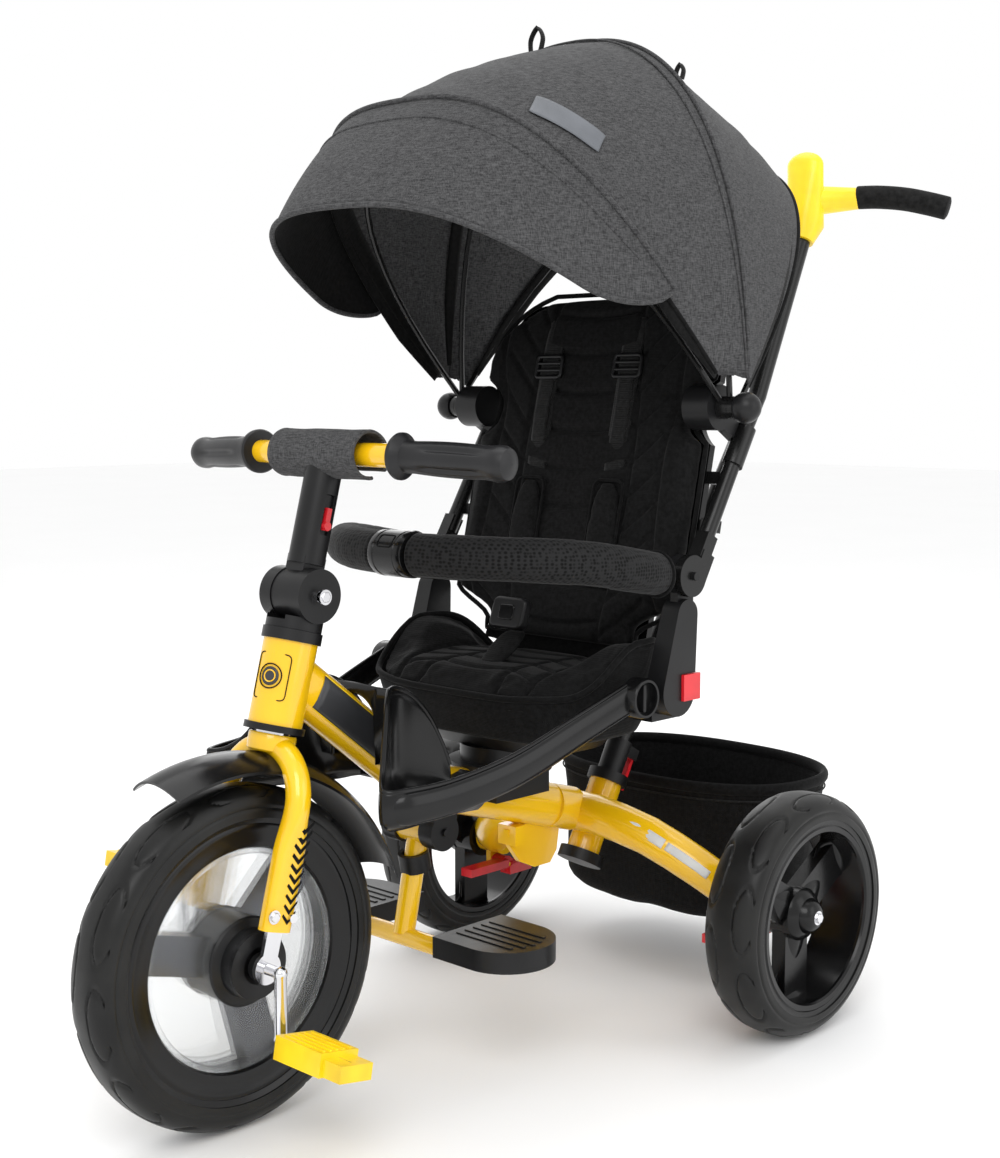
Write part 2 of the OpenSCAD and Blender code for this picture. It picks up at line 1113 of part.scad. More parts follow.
// The side tubes rise from the pivots' housings to the canopy hinges
module back_tubes() {
    color(black)
        reclined()
            both_sides() {
                difference() {
                    union() {
                        bar_x(172, 181, ear_r);
                        translate([166, 0, 22])
                            cube([14, 16, 26]);
                        translate([172.2, 2, 0])
                            cube([8.6, 18, 30]);
                        translate([172, 8, 30])
                            cylinder(h = 128, r = 8);
                        translate([172, 8, 124])
                            cylinder(h = 42, r = 10.5);
                    }
                    bar_x(160, 190, pin_r + run_gap);
                }
            }
    // Straps that hold the shell to the tubes
    color(black)
        backed()
            both_sides() {
                translate([158, 28, 48])
                    cube([12, 18, 12]);
                for (z = [48, 96])
                    translate([140, 41, z])
                        cube([30, 5, 12]);
            }
}

// Fixed housings, hinge pins and ball ends
module canopy_hinges() {
    color(black)
        reclined()
            both_sides()
                translate([0, hinge_y, hinge_z]) {
                    bar_x(140, 171, 22);
                    bar_x(160, 196, hinge_pin_r);
                    translate([200, 0, 0])
                        intersection() {
                            sphere(r = 15);
                            translate([-8, -20, -20])
                                cube([30, 40, 40]);
                        }
                    translate([160, 14, -14])
                        cube([11, 32, 16]);
                }
}

// The shoulder straps with their pads and adjusters
module shoulder_harness() {
    color(soft_black)
        backed()
            both_sides() {
                translate([40, 10.4, 60])
                    cube([26, 3.4, 196]);
                translate([33, 0.6, -20])
                    cube([40, 13, 112]);
                translate([37, 6.8, 196])
                    cube([32, 7, 22]);
            }
}

// ---- Canopy ----

skin_t = 2;
wire_r = 3;

// The rear bow's eyes are fast on the hinge pins; the others turn on them
module rear_bow() {
    color(black)
        at_canopy()
            difference() {
                bow(rear_bow_a, 189.5, 185.1, 190.9);
                bar_x(-300, 300, hinge_pin_r);
            }
}

module mid_bow() {
    color(black)
        at_canopy()
            bow(mid_bow_a, 181.5, 178.3, 184.7);
}

module front_bow() {
    color(black)
        at_canopy()
            bow(front_bow_a, 174.7, 171.5, 177.9);
}

// The panels nest: the main one folds back over the rear one
module canopy_rear_panel() {
    color(melange)
        at_canopy()
            canopy_skin(mid_bow_a, rear_bow_a + 3, canopy_half_w - 3.5,
                canopy_r - 20, skin_t);
}

module canopy_main_panel() {
    color(melange)
        at_canopy()
            canopy_skin(front_bow_a - 2, mid_bow_a + 1, canopy_half_w, canopy_r, skin_t);
}

// The visor laps over the main panel, and is cut back in a round at each side
module canopy_visor() {
    color(melange)
        at_canopy()
            difference() {
                canopy_skin(visor_a, front_bow_a + 2.5, canopy_half_w + 3.5,
                    canopy_r + 12, skin_t);
                rotate([90, 0, -90])
                    cylinder(h = 2 * canopy_half_w + 20, r = 165, center = true);
            }
}

// ---- Push handle ----

// Places on the handle, in the receiver's frame, along the middle plane
function post_point(y, z) =
    let (dy = y - post_foot[1], dz = z - post_foot[2])
    [0, dy * cos(post_lean) - dz * sin(post_lean),
     dy * sin(post_lean) + dz * cos(post_lean)];

module handle_tube() {
    color(black)
        at_post()
            run([[0, 0, 12 + slide_len + 2], [0, 0, post_top + 56],
                post_point(246, 631), post_point(334, 821)], handle_r);
}

module handle_head() {
    color(yellow)
        placed() {
            hull() {
                translate([0, 329, 812])
                    rotate([-25, 0, 0])
                        cylinder(h = 24, r1 = 15, r2 = 22, $fn = 32);
                translate([0, 336, 900])
                    scale([1.5, 0.8, 1])
                        sphere(r = 16, $fn = 32);
            }
            both_sides()
                hull() {
                    translate([8, 345, 860])
                        sphere(r = 17, $fn = 24);
                    translate([48, 376.5, 862])
                        sphere(r = 12.5, $fn = 24);
                }
        }
}

module handle_grips() {
    grip_reach = norm([100, 39, -15]);
    color(black)
        placed()
            both_sides()
                translate([44, 375, 862])
                    rotate([0, acos(-15 / grip_reach), atan2(39, 100)])
                        rotate_extrude()
                            polygon([[0, 0], [13.5, 0], [13.5, grip_reach - 2],
                                [11.5, grip_reach + 6], [6.5, grip_reach + 11.5],
                                [0, grip_reach + 13]]);
}

// The quick-release lever lies along the back of the post, below its pin
module receiver_lever() {
    color(red)
        at_post()
            translate([0, lever_y, lever_z])
                difference() {
                    union() {
                        bar_x(-7, 7, 5.5);
                        translate([-5, 2.4, -40])
                            cube([10, 4.6, 40]);
                    }
                    bar_x(-10, 10, lever_pin_r + run_gap);
                }
}

head_tube();
head_rings();
down_tube();
rear_beam();
rear_axles();
handle_receiver();
receiver_post();
basket();
foot_tray();
seat_mount();
seat_shell();
seat_cushion();
side_brackets();
crotch_strap();
footrest_block();
steerer();
fork();
steering_bolts();
fender();
stem_knuckle();
stem();
handlebar();
handlebar_grips();
bar_pad();
stem_button();
front_tyre();
front_rim();
front_disc();
front_spokes();
front_hub();
crank_axle();
pedal_left();
pedal_right();
rear_tyre_left();
rear_tyre_right();
rear_rim_left();
rear_rim_right();
brake_pedal_left();
brake_pedal_right();
footrest_tube();
footrest_plates();
guard_bar();
guard_clasp();
recline_button_left();
recline_button_right();
back_shell();
back_pad();
back_tubes();
canopy_hinges();
shoulder_harness();
rear_bow();
mid_bow();
front_bow();
canopy_rear_panel();
canopy_main_panel();
canopy_visor();
handle_tube();
handle_head();
handle_grips();
receiver_lever();
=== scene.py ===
import bpy
import bmesh
import json
import math
from mathutils import Matrix, Vector, noise


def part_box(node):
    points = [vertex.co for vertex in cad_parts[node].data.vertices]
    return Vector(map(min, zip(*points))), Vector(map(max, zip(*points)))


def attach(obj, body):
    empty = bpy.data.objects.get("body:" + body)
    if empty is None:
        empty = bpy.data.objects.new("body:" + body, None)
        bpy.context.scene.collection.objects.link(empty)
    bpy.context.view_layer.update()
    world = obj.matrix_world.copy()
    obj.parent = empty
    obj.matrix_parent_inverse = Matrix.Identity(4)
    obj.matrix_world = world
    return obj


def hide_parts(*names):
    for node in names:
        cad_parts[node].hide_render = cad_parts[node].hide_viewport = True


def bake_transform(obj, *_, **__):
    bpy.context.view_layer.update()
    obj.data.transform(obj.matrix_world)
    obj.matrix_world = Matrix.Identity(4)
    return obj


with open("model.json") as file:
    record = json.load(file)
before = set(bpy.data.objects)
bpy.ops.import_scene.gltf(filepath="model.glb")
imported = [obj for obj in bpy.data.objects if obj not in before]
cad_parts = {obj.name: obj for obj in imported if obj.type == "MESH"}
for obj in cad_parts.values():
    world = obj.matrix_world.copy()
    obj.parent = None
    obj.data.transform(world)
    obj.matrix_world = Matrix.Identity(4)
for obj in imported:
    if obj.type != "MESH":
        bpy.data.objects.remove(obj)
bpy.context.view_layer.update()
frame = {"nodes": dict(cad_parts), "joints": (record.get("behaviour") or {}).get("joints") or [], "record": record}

JOINTS = {joint["name"]: joint for joint in frame["joints"]}
NODES = frame["nodes"]
MM = 0.001


# ---- Places in the frame ----

def joint_place(name):
    return Vector(JOINTS[name]["pos_m"])


REAR_AXLE_Y = joint_place("left_rear_wheel_spin").y
FRONT_AXLE = joint_place("front_wheel_spin")
PIVOT = joint_place("backrest_recline")
HINGE = joint_place("canopy_fold")
STEER_AXIS = Vector(JOINTS["steering_turn"]["axis"])
BACK_LEAN = math.radians(13)


def at(x, y, z):
    """A point in millimetres from below the rear axle."""
    return Vector((x * MM, REAR_AXLE_Y + y * MM, z * MM))


def tilted(origin, up):
    """A frame with its origin at a point and its Z along up, in the middle plane."""
    turn = Matrix.Rotation(-math.atan2(up.y, up.z), 4, "X")
    return Matrix.Translation(origin) @ turn


STEER = tilted(FRONT_AXLE, STEER_AXIS)
BACK = tilted(PIVOT, Vector((0, math.sin(BACK_LEAN), math.cos(BACK_LEAN))))
WORLD = Matrix.Identity(4)


# ---- Materials ----

class Shader:
    """A Principled material with helpers for procedural detail in metres."""

    def __init__(self, name, colour, rough, metallic=0.0, coat=0.0, sheen=0.0, gloss=0.5):
        self.mat = bpy.data.materials.new(name)
        self.mat.use_nodes = True
        self.nodes = self.mat.node_tree.nodes
        self.links = self.mat.node_tree.links
        self.bsdf = self.nodes["Principled BSDF"]
        self.put("Base Color", (*colour, 1))
        self.put("Roughness", rough)
        self.put("Metallic", metallic)
        self.put("Coat Weight", coat)
        self.put("Coat Roughness", 0.08)
        self.put("Sheen Weight", sheen)
        self.put("Sheen Roughness", 0.4)
        self.put("Specular IOR Level", gloss)
        self.coords = self.nodes.new("ShaderNodeTexCoord").outputs["Object"]
        self.height = None

    def put(self, socket, value):
        self.bsdf.inputs[socket].default_value = value

    def texture(self, kind, scale, stretch=(1, 1, 1)):
        mapping = self.nodes.new("ShaderNodeMapping")
        mapping.inputs["Scale"].default_value = stretch
        self.links.new(self.coords, mapping.inputs["Vector"])
        node = self.nodes.new(kind)
        node.inputs["Scale"].default_value = scale
        self.links.new(mapping.outputs[0], node.inputs["Vector"])
        return node

    def noise(self, scale, detail=3.0, rough=0.55, stretch=(1, 1, 1)):
        node = self.texture("ShaderNodeTexNoise", scale, stretch)
        node.inputs["Detail"].default_value = detail
        node.inputs["Roughness"].default_value = rough
        return node.outputs["Fac"]

    def wave(self, pitch, axis):
        node = self.texture("ShaderNodeTexWave", math.pi / 10 / pitch)
        node.bands_direction = axis
        return node.outputs["Fac"]

    def voronoi(self, scale, stretch=(1, 1, 1)):
        node = self.texture("ShaderNodeTexVoronoi", scale, stretch)
        node.inputs["Randomness"].default_value = 0.35
        return node.outputs["Distance"]

    def join(self, a, b, how="MULTIPLY"):
        node = self.nodes.new("ShaderNodeMath")
        node.operation = how
        self.links.new(a, node.inputs[0])
        if isinstance(b, (int, float)):
            node.inputs[1].default_value = b
        else:
            self.links.new(b, node.inputs[1])
        return node.outputs[0]

    def ramp(self, fac, low, high, start=0.35, end=0.65):
        node = self.nodes.new("ShaderNodeValToRGB")
        node.color_ramp.elements[0].position = start
        node.color_ramp.elements[1].position = end
        node.color_ramp.elements[0].color = (*low, 1)
        node.color_ramp.elements[1].color = (*high, 1)
        self.links.new(fac, node.inputs["Fac"])
        return node.outputs["Color"]

    def colour(self, fac, low, high, start=0.35, end=0.65):
        self.links.new(self.ramp(fac, low, high, start, end), self.bsdf.inputs["Base Color"])
        return self

    def vary_rough(self, fac, low, high):
        node = self.nodes.new("ShaderNodeMapRange")
        node.inputs["To Min"].default_value = low
        node.inputs["To Max"].default_value = high
        self.links.new(fac, node.inputs["Value"])
        self.links.new(node.outputs[0], self.bsdf.inputs["Roughness"])
        return self

    def bump(self, fac, depth, strength):
        node = self.nodes.new("ShaderNodeBump")
        node.inputs["Distance"].default_value = depth
        node.inputs["Strength"].default_value = strength
        self.links.new(fac, node.inputs["Height"])
        if self.height:
            self.links.new(self.height, node.inputs["Normal"])
        self.height = node.outputs["Normal"]
        self.links.new(self.height, self.bsdf.inputs["Normal"])
        return self


def painted(name, colour, deep):
    """Gloss paint with a faint orange peel and slightly deeper patches."""
    s = Shader(name, colour, 0.2, coat=0.6)
    s.colour(s.noise(9), deep, colour)
    s.vary_rough(s.noise(60), 0.16, 0.27)
    return s.bump(s.noise(420, 1), 0.00012, 0.35).mat


def moulded(name, colour, rough, grain=0.00012, coat=0.0, gloss=0.5):
    """Moulded plastic with a fine grain and soft handling marks."""
    s = Shader(name, colour, rough, coat=coat, gloss=gloss)
    s.colour(s.noise(14), [c * 0.8 for c in colour], [c * 1.25 for c in colour])
    s.vary_rough(s.noise(35), rough * 0.82, rough * 1.2)
    return s.bump(s.noise(1500, 2), grain, 0.5).mat


def plated(name, colour, rough):
    """Plated metal with faint polishing marks."""
    s = Shader(name, colour, rough, metallic=1.0)
    s.vary_rough(s.noise(70, 4), rough * 0.6, rough * 1.7)
    return s.bump(s.noise(500, 2, stretch=(1, 1, 6)), 0.00004, 0.4).mat


def melange(name, low, high):
    """Two-tone woven cloth: flecked yarns that run both ways."""
    s = Shader(name, high, 0.92, sheen=0.06, gloss=0.15)
    along = s.noise(950, 3, 0.6, stretch=(1, 1, 0.16))
    across = s.noise(950, 3, 0.6, stretch=(0.16, 0.16, 1))
    s.colour(s.join(s.join(along, across, "ADD"), 0.5), low, high, 0.38, 0.62)
    s.bump(s.join(s.wave(0.0011, "Z"), s.wave(0.0011, "DIAGONAL"), "ADD"), 0.00022, 0.5)
    return s.bump(s.noise(40, 3), 0.0006, 0.35).mat


def dark_cloth(name, tone, pitch=0.0016, depth=0.0003):
    """Black polyester: a fine basket weave with a soft sheen."""
    s = Shader(name, (tone, tone, tone), 0.82, sheen=0.06, gloss=0.12)
    s.colour(s.noise(240, 4), (tone * 0.6,) * 3, (tone * 1.6, tone * 1.6, tone * 1.65))
    s.bump(s.join(s.wave(pitch, "X"), s.wave(pitch, "Z"), "MULTIPLY"), depth, 0.7)
    return s.bump(s.noise(28, 3), 0.0008, 0.3).mat


def mesh_knit(name):
    """Open spacer mesh: small round holes in a soft black knit, with painted shade darkening each hole."""
    s = Shader(name, (0.012, 0.012, 0.012), 0.78, sheen=0.08, gloss=0.15)
    cells = s.voronoi(270, stretch=(0.8, 1.1, 1.1))
    # painted shade: the hole pits are coloured near-black as if shadowed inside
    s.colour(cells, (0.0022, 0.0022, 0.0022), (0.017, 0.017, 0.0175), 0.25, 0.55)
    return s.bump(cells, 0.0007, 0.7).mat


def webbing(name):
    """Woven strap with a rib across its width."""
    s = Shader(name, (0.009, 0.009, 0.009), 0.7, sheen=0.1, gloss=0.2)
    s.colour(s.noise(300, 3), (0.005,) * 3, (0.015,) * 3)
    return s.bump(s.wave(0.0018, "Z"), 0.0004, 0.8).mat


def foam(name):
    """Closed-cell foam rubber: matt and finely pitted."""
    s = Shader(name, (0.010, 0.010, 0.010), 0.85, sheen=0.05, gloss=0.15)
    s.colour(s.noise(180, 4), (0.006,) * 3, (0.015,) * 3)
    s.bump(s.voronoi(900), 0.0003, 0.6)
    return s.bump(s.noise(60), 0.0004, 0.3).mat


def tyre_rubber(name):
    """Foam tyre skin: nearly smooth, with a satin bloom and light scuffs."""
    s = Shader(name, (0.008, 0.008, 0.008), 0.42, gloss=0.28)
    s.colour(s.noise(26, 5), (0.005,) * 3, (0.011, 0.011, 0.0105))
    s.vary_rough(s.noise(48, 4), 0.28, 0.52)
    return s.bump(s.noise(700, 3), 0.00016, 0.5).mat


def clear_plastic(name):
    """Thin clear cover with a faint flow mark."""
    s = Shader(name, (0.93, 0.95, 0.96), 0.04)
    s.put("Transmission Weight", 0.94)
    s.put("IOR", 1.25)
    s.put("Alpha", 0.42)
    s.vary_rough(s.noise(8), 0.02, 0.08)
    return s.bump(s.noise(40), 0.0001, 0.3).mat


YELLOW = painted("yellow_paint", (0.94, 0.56, 0.005), (0.88, 0.50, 0.004))
YELLOW_PLASTIC = moulded("yellow_plastic", (0.90, 0.60, 0.008), 0.34, coat=0.1)
GLOSS_BLACK = moulded("gloss_black_plastic", (0.005, 0.005, 0.0052), 0.2, 0.00006, gloss=0.3)
SATIN_BLACK = moulded("satin_black_plastic", (0.008, 0.008, 0.0085), 0.36, gloss=0.28)
DARK_METAL = moulded("black_powder_coat", (0.006, 0.006, 0.006), 0.26, 0.00008, gloss=0.35)
GRIP_RUBBER = moulded("grip_rubber", (0.010, 0.010, 0.011), 0.36, 0.0002, gloss=0.35)
CHROME = plated("chrome_plate", (0.72, 0.72, 0.74), 0.12)
SMOKE_CHROME = plated("smoked_chrome", (0.085, 0.087, 0.095), 0.12)
RED = moulded("red_plastic", (0.62, 0.012, 0.02), 0.3, coat=0.3)
MELANGE = melange("melange_cloth", (0.026, 0.026, 0.027), (0.094, 0.094, 0.096))
MELANGE_DARK = melange("melange_lining", (0.024, 0.024, 0.025), (0.100, 0.100, 0.102))
SEAT_CLOTH = dark_cloth("seat_cloth", 0.0058)
BAG_CLOTH = dark_cloth("bag_cloth", 0.0060, 0.0022, 0.0004)
BINDING = dark_cloth("binding_tape", 0.0045, 0.0012, 0.0002)
KNIT = mesh_knit("spacer_mesh")
STRAP = webbing("strap_webbing")
FOAM = foam("foam_rubber")
TYRE = tyre_rubber("tyre_rubber")
CLEAR = clear_plastic("clear_cover")
PATCH = moulded("reflective_patch", (0.115, 0.122, 0.135), 0.42, gloss=0.3)
LABEL = moulded("label_film", (0.030, 0.031, 0.034), 0.35)
PALE_LABEL = moulded("pale_label", (0.62, 0.62, 0.60), 0.5)

SLOT_LOOKS = {
    "yellow_metal": YELLOW, "yellow_plastic": YELLOW_PLASTIC, "black_metal": DARK_METAL, "chrome": CHROME,
    "black_plastic": SATIN_BLACK, "gloss_black": GLOSS_BLACK, "vane": SMOKE_CHROME, "tyre": TYRE,
    "clear": CLEAR, "red_plastic": RED, "black_fabric": SEAT_CLOTH, "foam": FOAM, "grey_fabric": MELANGE,
}
NODE_SLOT = {part["node"]: part["material_slot"] for part in frame["record"]["subparts"]}


def dress_nodes():
    """Gives every CAD node its slot's material, welded smooth shading and softened edges."""
    for name, obj in NODES.items():
        obj.data.materials.clear()
        obj.data.materials.append(SLOT_LOOKS[NODE_SLOT[name]])
        for face in obj.data.polygons:
            face.use_smooth = True
        weld = obj.modifiers.new("weld", "WELD")
        weld.merge_threshold = 0.00001
        split = obj.modifiers.new("crease", "EDGE_SPLIT")
        split.split_angle = math.radians(34)


# ---- Mesh helpers ----

def piece(name, verts, faces, material, body, slot, thick=0.0, smooth=40, where=WORLD):
    """Makes a mesh piece that rides on a body; thick adds a shell."""
    data = bpy.data.meshes.new(name)
    data.from_pydata([tuple(where @ Vector(v)) for v in verts], [], faces)
    data.validate()
    obj = bpy.data.objects.new(name, data)
    bpy.context.scene.collection.objects.link(obj)
    tidy_normals(data)
    data.materials.append(material)
    if thick:
        shell = obj.modifiers.new("shell", "SOLIDIFY")
        shell.thickness = thick
        shell.offset = 0
        shell.use_even_offset = True
    shade(obj, smooth)
    if body:
        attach(obj, body)
    return obj


def tidy_normals(data):
    bm = bmesh.new()
    bm.from_mesh(data)
    bmesh.ops.remove_doubles(bm, verts=bm.verts, dist=1e-6)
    bmesh.ops.recalc_face_normals(bm, faces=bm.faces)
    bm.to_mesh(data)
    bm.free()


def shade(obj, degrees):
    """Smooth shading that keeps edges sharper than the angle."""
    for face in obj.data.polygons:
        face.use_smooth = True
    obj.data.set_sharp_from_angle(angle=math.radians(degrees))


def grid(rows, cols, place, wrap_rows=False, wrap_cols=False):
    """Vertices and quads of a surface: place(u, v) with u, v from 0 to 1."""
    verts = []
    for i in range(rows):
        for j in range(cols):
            u = i / (rows if wrap_rows else rows - 1)
            v = j / (cols if wrap_cols else cols - 1)
            verts.append(place(u, v))
    faces = []
    for i in range(rows if wrap_rows else rows - 1):
        for j in range(cols if wrap_cols else cols - 1):
            a, b = i * cols + j, i * cols + (j + 1) % cols
            c, d = (i + 1) % rows * cols + (j + 1) % cols, (i + 1) % rows * cols + j
            faces.append((a, b, c, d))
    return verts, faces


def smooth_path(points, steps=8, closed=False):
    """A Catmull-Rom curve through the points."""
    pts = [Vector(p) for p in points]
    last = len(pts) - 1
    out = []
    for i in range(len(pts) if closed else last):
        if closed:
            p0, p1, p2, p3 = (pts[(i + k) % len(pts)] for k in (-1, 0, 1, 2))
        else:
            p0, p1, p2, p3 = pts[max(i - 1, 0)], pts[i], pts[i + 1], pts[min(i + 2, last)]
        for k in range(steps):
            t = k / steps
            out.append(0.5 * (2 * p1 + (p2 - p0) * t + (2 * p0 - 5 * p1 + 4 * p2 - p3) * t * t
                              + (3 * p1 - p0 - 3 * p2 + p3) * t ** 3))
    if not closed:
        out.append(pts[-1])
    return out


def tube(name, points, radius, material, body, slot, sides=16, steps=8, closed=False, flat=1.0,
         up=(0, 0, 1), where=WORLD):
    """A tube along a smooth path; radius may be a function of 0..1, flat squashes it along up."""
    path = smooth_path(points, steps, closed) if steps > 1 else [Vector(p) for p in points]
    count = len(path)
    up = Vector(up)
    verts = []
    for i, p in enumerate(path):
        ahead = path[(i + 1) % count] if closed else path[min(i + 1, count - 1)]
        behind = path[i - 1] if closed else path[max(i - 1, 0)]
        along = (ahead - behind).normalized()
        side = along.cross(up)
        side = side.normalized() if side.length > 1e-6 else along.orthogonal().normalized()
        over = side.cross(along)
        r = radius(i / (count - 1)) if callable(radius) else radius
        for k in range(sides):
            a = 2 * math.pi * k / sides
            verts.append(p + side * (r * math.cos(a)) + over * (r * flat * math.sin(a)))
    faces = []
    for i in range(count if closed else count - 1):
        for k in range(sides):
            a, b = i * sides + k, i * sides + (k + 1) % sides
            c, d = (i + 1) % count * sides + (k + 1) % sides, (i + 1) % count * sides + k
            faces.append((a, b, c, d))
    if not closed:
        faces.append(tuple(range(sides - 1, -1, -1)))
        faces.append(tuple((count - 1) * sides + k for k in range(sides)))
    return piece(name, verts, faces, material, body, slot, where=where)


def lathe(name, profile, material, body, slot, where=WORLD, segments=96, wobble=None):
    """A closed profile of (radius, height) turned about the local Z axis."""
    def place(u, v):
        angle = 2 * math.pi * u
        r, z = profile[min(int(round(v * (len(profile) - 1))), len(profile) - 1)]
        if wobble:
            r, z = wobble(angle, v, r, z)
        return (r * math.cos(angle), r * math.sin(angle), z)
    verts, faces = grid(segments, len(profile), place, wrap_rows=True)
    count = len(profile)
    for i in range(segments):
        a, b = i * count, (i + 1) % segments * count
        faces.append((a, b, b + count - 1, a + count - 1))
    return piece(name, verts, faces, material, body, slot, where=where, smooth=32)


def rounded(points, radius, steps=5):
    """A closed 2-D outline with its corners rounded."""
    out = []
    count = len(points)
    for i in range(count):
        p = Vector(points[i])
        a = Vector(points[i - 1]) - p
        b = Vector(points[(i + 1) % count]) - p
        cut = min(radius, a.length * 0.45, b.length * 0.45)
        start, end = p + a.normalized() * cut, p + b.normalized() * cut
        for k in range(steps + 1):
            t = k / steps
            out.append((1 - t) ** 2 * start + 2 * t * (1 - t) * p + t * t * end)
    return [(p.x, p.y) for p in out]


def slab(name, outline, low, high, material, body, slot, where=WORLD, bevel=0.001, segments=3):
    """An outline in the local XY plane raised from low to high, with rounded edges."""
    count = len(outline)
    verts = [(x, y, low) for x, y in outline] + [(x, y, high) for x, y in outline]
    faces = [tuple(range(count - 1, -1, -1)), tuple(range(count, 2 * count))]
    faces += [(i, (i + 1) % count, (i + 1) % count + count, i + count) for i in range(count)]
    obj = piece(name, verts, faces, material, body, slot, where=where, smooth=30)
    edge = obj.modifiers.new("edge", "BEVEL")
    edge.width = bevel
    edge.segments = segments
    edge.limit_method = "ANGLE"
    edge.angle_limit = math.radians(40)
    return obj


def box_outline(w, h, radius):
    corners = [(-w / 2, -h / 2), (w / 2, -h / 2), (w / 2, h / 2), (-w / 2, h / 2)]
    return rounded(corners, radius)


def facing(origin, normal):
    """A frame at a point whose local Z is the normal and whose Y is close to the row's up."""
    z = Vector(normal).normalized()
    x = Vector((0, 0, 1)).cross(z).normalized()
    y = z.cross(x)
    turn = Matrix((x, y, z)).transposed().to_4x4()
    return Matrix.Translation(origin) @ turn


def both(make):
    """Runs make(side, name) for the rider's left and right."""
    for side, name in ((1, "left"), (-1, "right")):
        make(side, name)


def apply_all(obj):
    """Applies every modifier on a piece."""
    bpy.context.view_layer.update()
    graph = bpy.context.evaluated_depsgraph_get()
    data = bpy.data.meshes.new_from_object(obj.evaluated_get(graph))
    obj.modifiers.clear()
    obj.data = data
    return obj


def soft_circle(angle, power):
    """Cosine and sine with their signs kept and their sizes raised to a power below 1 for squarer corners."""
    return tuple(math.copysign(abs(s) ** power, s) for s in (math.cos(angle), math.sin(angle)))


def smoothstep(x, low, high):
    t = min(max((x - low) / (high - low), 0.0), 1.0)
    return t * t * (3 - 2 * t)


# ---- Canopy ----

class Bow:
    """A canopy hoop: its angle from forward, crown radius, half width and roundness."""

    def __init__(self, angle, crown, half, power):
        self.angle, self.crown, self.half, self.power = angle, crown, half, power

    def at(self, t):
        r = self.crown * math.sin(t) ** (2 / self.power)
        x = self.half * math.copysign(abs(math.cos(t)) ** (2 / self.power), math.cos(t))
        return r, x

    def start(self, low):
        """The parameter at which the hoop leaves the hinge by a radius."""
        return math.asin((low / self.crown) ** (self.power / 2))


FRONT_BOW = Bow(44, 0.376, 0.192, 2.9)
MID_BOW = Bow(88, 0.362, 0.203, 2.4)
REAR_TOP = Bow(88.4, 0.3600, 0.2015, 2.4)
REAR_BOW = Bow(131, 0.347, 0.190, 2.3)
HINGE_GAP = 0.027
MAIN_PUFF = 0.5
PATCH_CORNERS = ((0.15, 1.07), (0.22, 0.76), (0.33, 0.81), (0.25, 1.12))


def polar(theta, r, x):
    a = math.radians(theta)
    return Vector((x, HINGE.y - r * math.cos(a), HINGE.z + r * math.sin(a)))


def spanned(first, second, f, t, puff):
    """A point on cloth stretched between two hoops, f of the way, puffed from the chord to the arc."""
    (ra, xa), (rb, xb) = first.at(t), second.at(t)
    wide = math.radians(second.angle - first.angle)
    chord = ra * rb * math.sin(wide) / (ra * math.sin(f * wide) + rb * math.sin((1 - f) * wide))
    r = chord + puff * (ra + (rb - ra) * f - chord)
    x = xa + (xb - xa) * f
    fold = noise.noise(Vector((x * 9, f * 1.6, first.angle))) * 0.0035
    crease = noise.noise(Vector((f * 9 + x * 14, r * 22, 3.0))) * 0.0016
    slack = math.sin(math.pi * f)
    return polar(first.angle + (second.angle - first.angle) * f, r + (fold + crease) * slack, x)


def area_of(obj):
    return sum(face.area for face in obj.data.polygons)


def carry(obj, bodies, span=(0, 1)):
    """Rides on one body; given two, it bakes its place into the mesh and rides on neither."""
    if isinstance(bodies, str):
        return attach(obj, bodies)
    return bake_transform(obj, *bodies, start=polar(span[0], 0.3, 0), end=polar(span[1], 0.3, 0))


def cloth(name, mesh, bodies, span, node, lining):
    """A two-sided sheet of canopy cloth whose outer side is melange, and its area before lining."""
    obj = piece(name, *mesh, MELANGE, None, "grey_fabric", smooth=60)
    data = obj.data
    outward = sum((face.center - HINGE).dot(face.normal) * face.area for face in data.polygons)
    if outward < 0:
        data.flip_normals()
    data.materials.append(lining)
    size = area_of(obj)
    shell = obj.modifiers.new("lining", "SOLIDIFY")
    shell.thickness = 0.0018
    shell.offset = -1
    shell.material_offset = 1
    shell.material_offset_rim = 0
    apply_all(obj)
    carry(obj, bodies, span)
    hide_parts(node)
    return obj, size


def seam(name, points, radius, material, body):
    return tube(name, points, radius, material, body, "grey_fabric", sides=10, steps=1)


def hoop(bow, theta, lift, low=HINGE_GAP, count=96):
    """Points along a hoop's curve at an angle, lifted off the cloth."""
    t0 = bow.start(low)
    pts = []
    for i in range(count + 1):
        r, x = bow.at(t0 + (math.pi - 2 * t0) * i / count)
        pts.append(polar(theta, r + lift, x * (1 + lift / 0.19)))
    return pts


def canopy_panel(name, first, second, bodies, node, puff):
    start = max(first.start(HINGE_GAP), second.start(HINGE_GAP))

    def place(u, v):
        return spanned(first, second, v, start + (math.pi - 2 * start) * u, puff)
    return cloth(name, grid(150, 40, place), bodies, (second.angle, first.angle), node, MELANGE_DARK)


VISOR_LOW = 0.146
VISOR_LOBE = 0.232
VISOR_BACK = 46.5
VISOR_DEEP = 19.5


def visor_edge(r):
    """The angle of the visor's free edge; each end turns back in a round lobe."""
    if r >= VISOR_LOBE:
        return VISOR_BACK - VISOR_DEEP
    reach = (VISOR_LOBE - r) / (VISOR_LOBE - VISOR_LOW)
    return VISOR_BACK - VISOR_DEEP * math.sqrt(max(0.0, 1 - reach ** 2))


VISOR_BOW = Bow(44, 0.379, 0.197, 2.9)


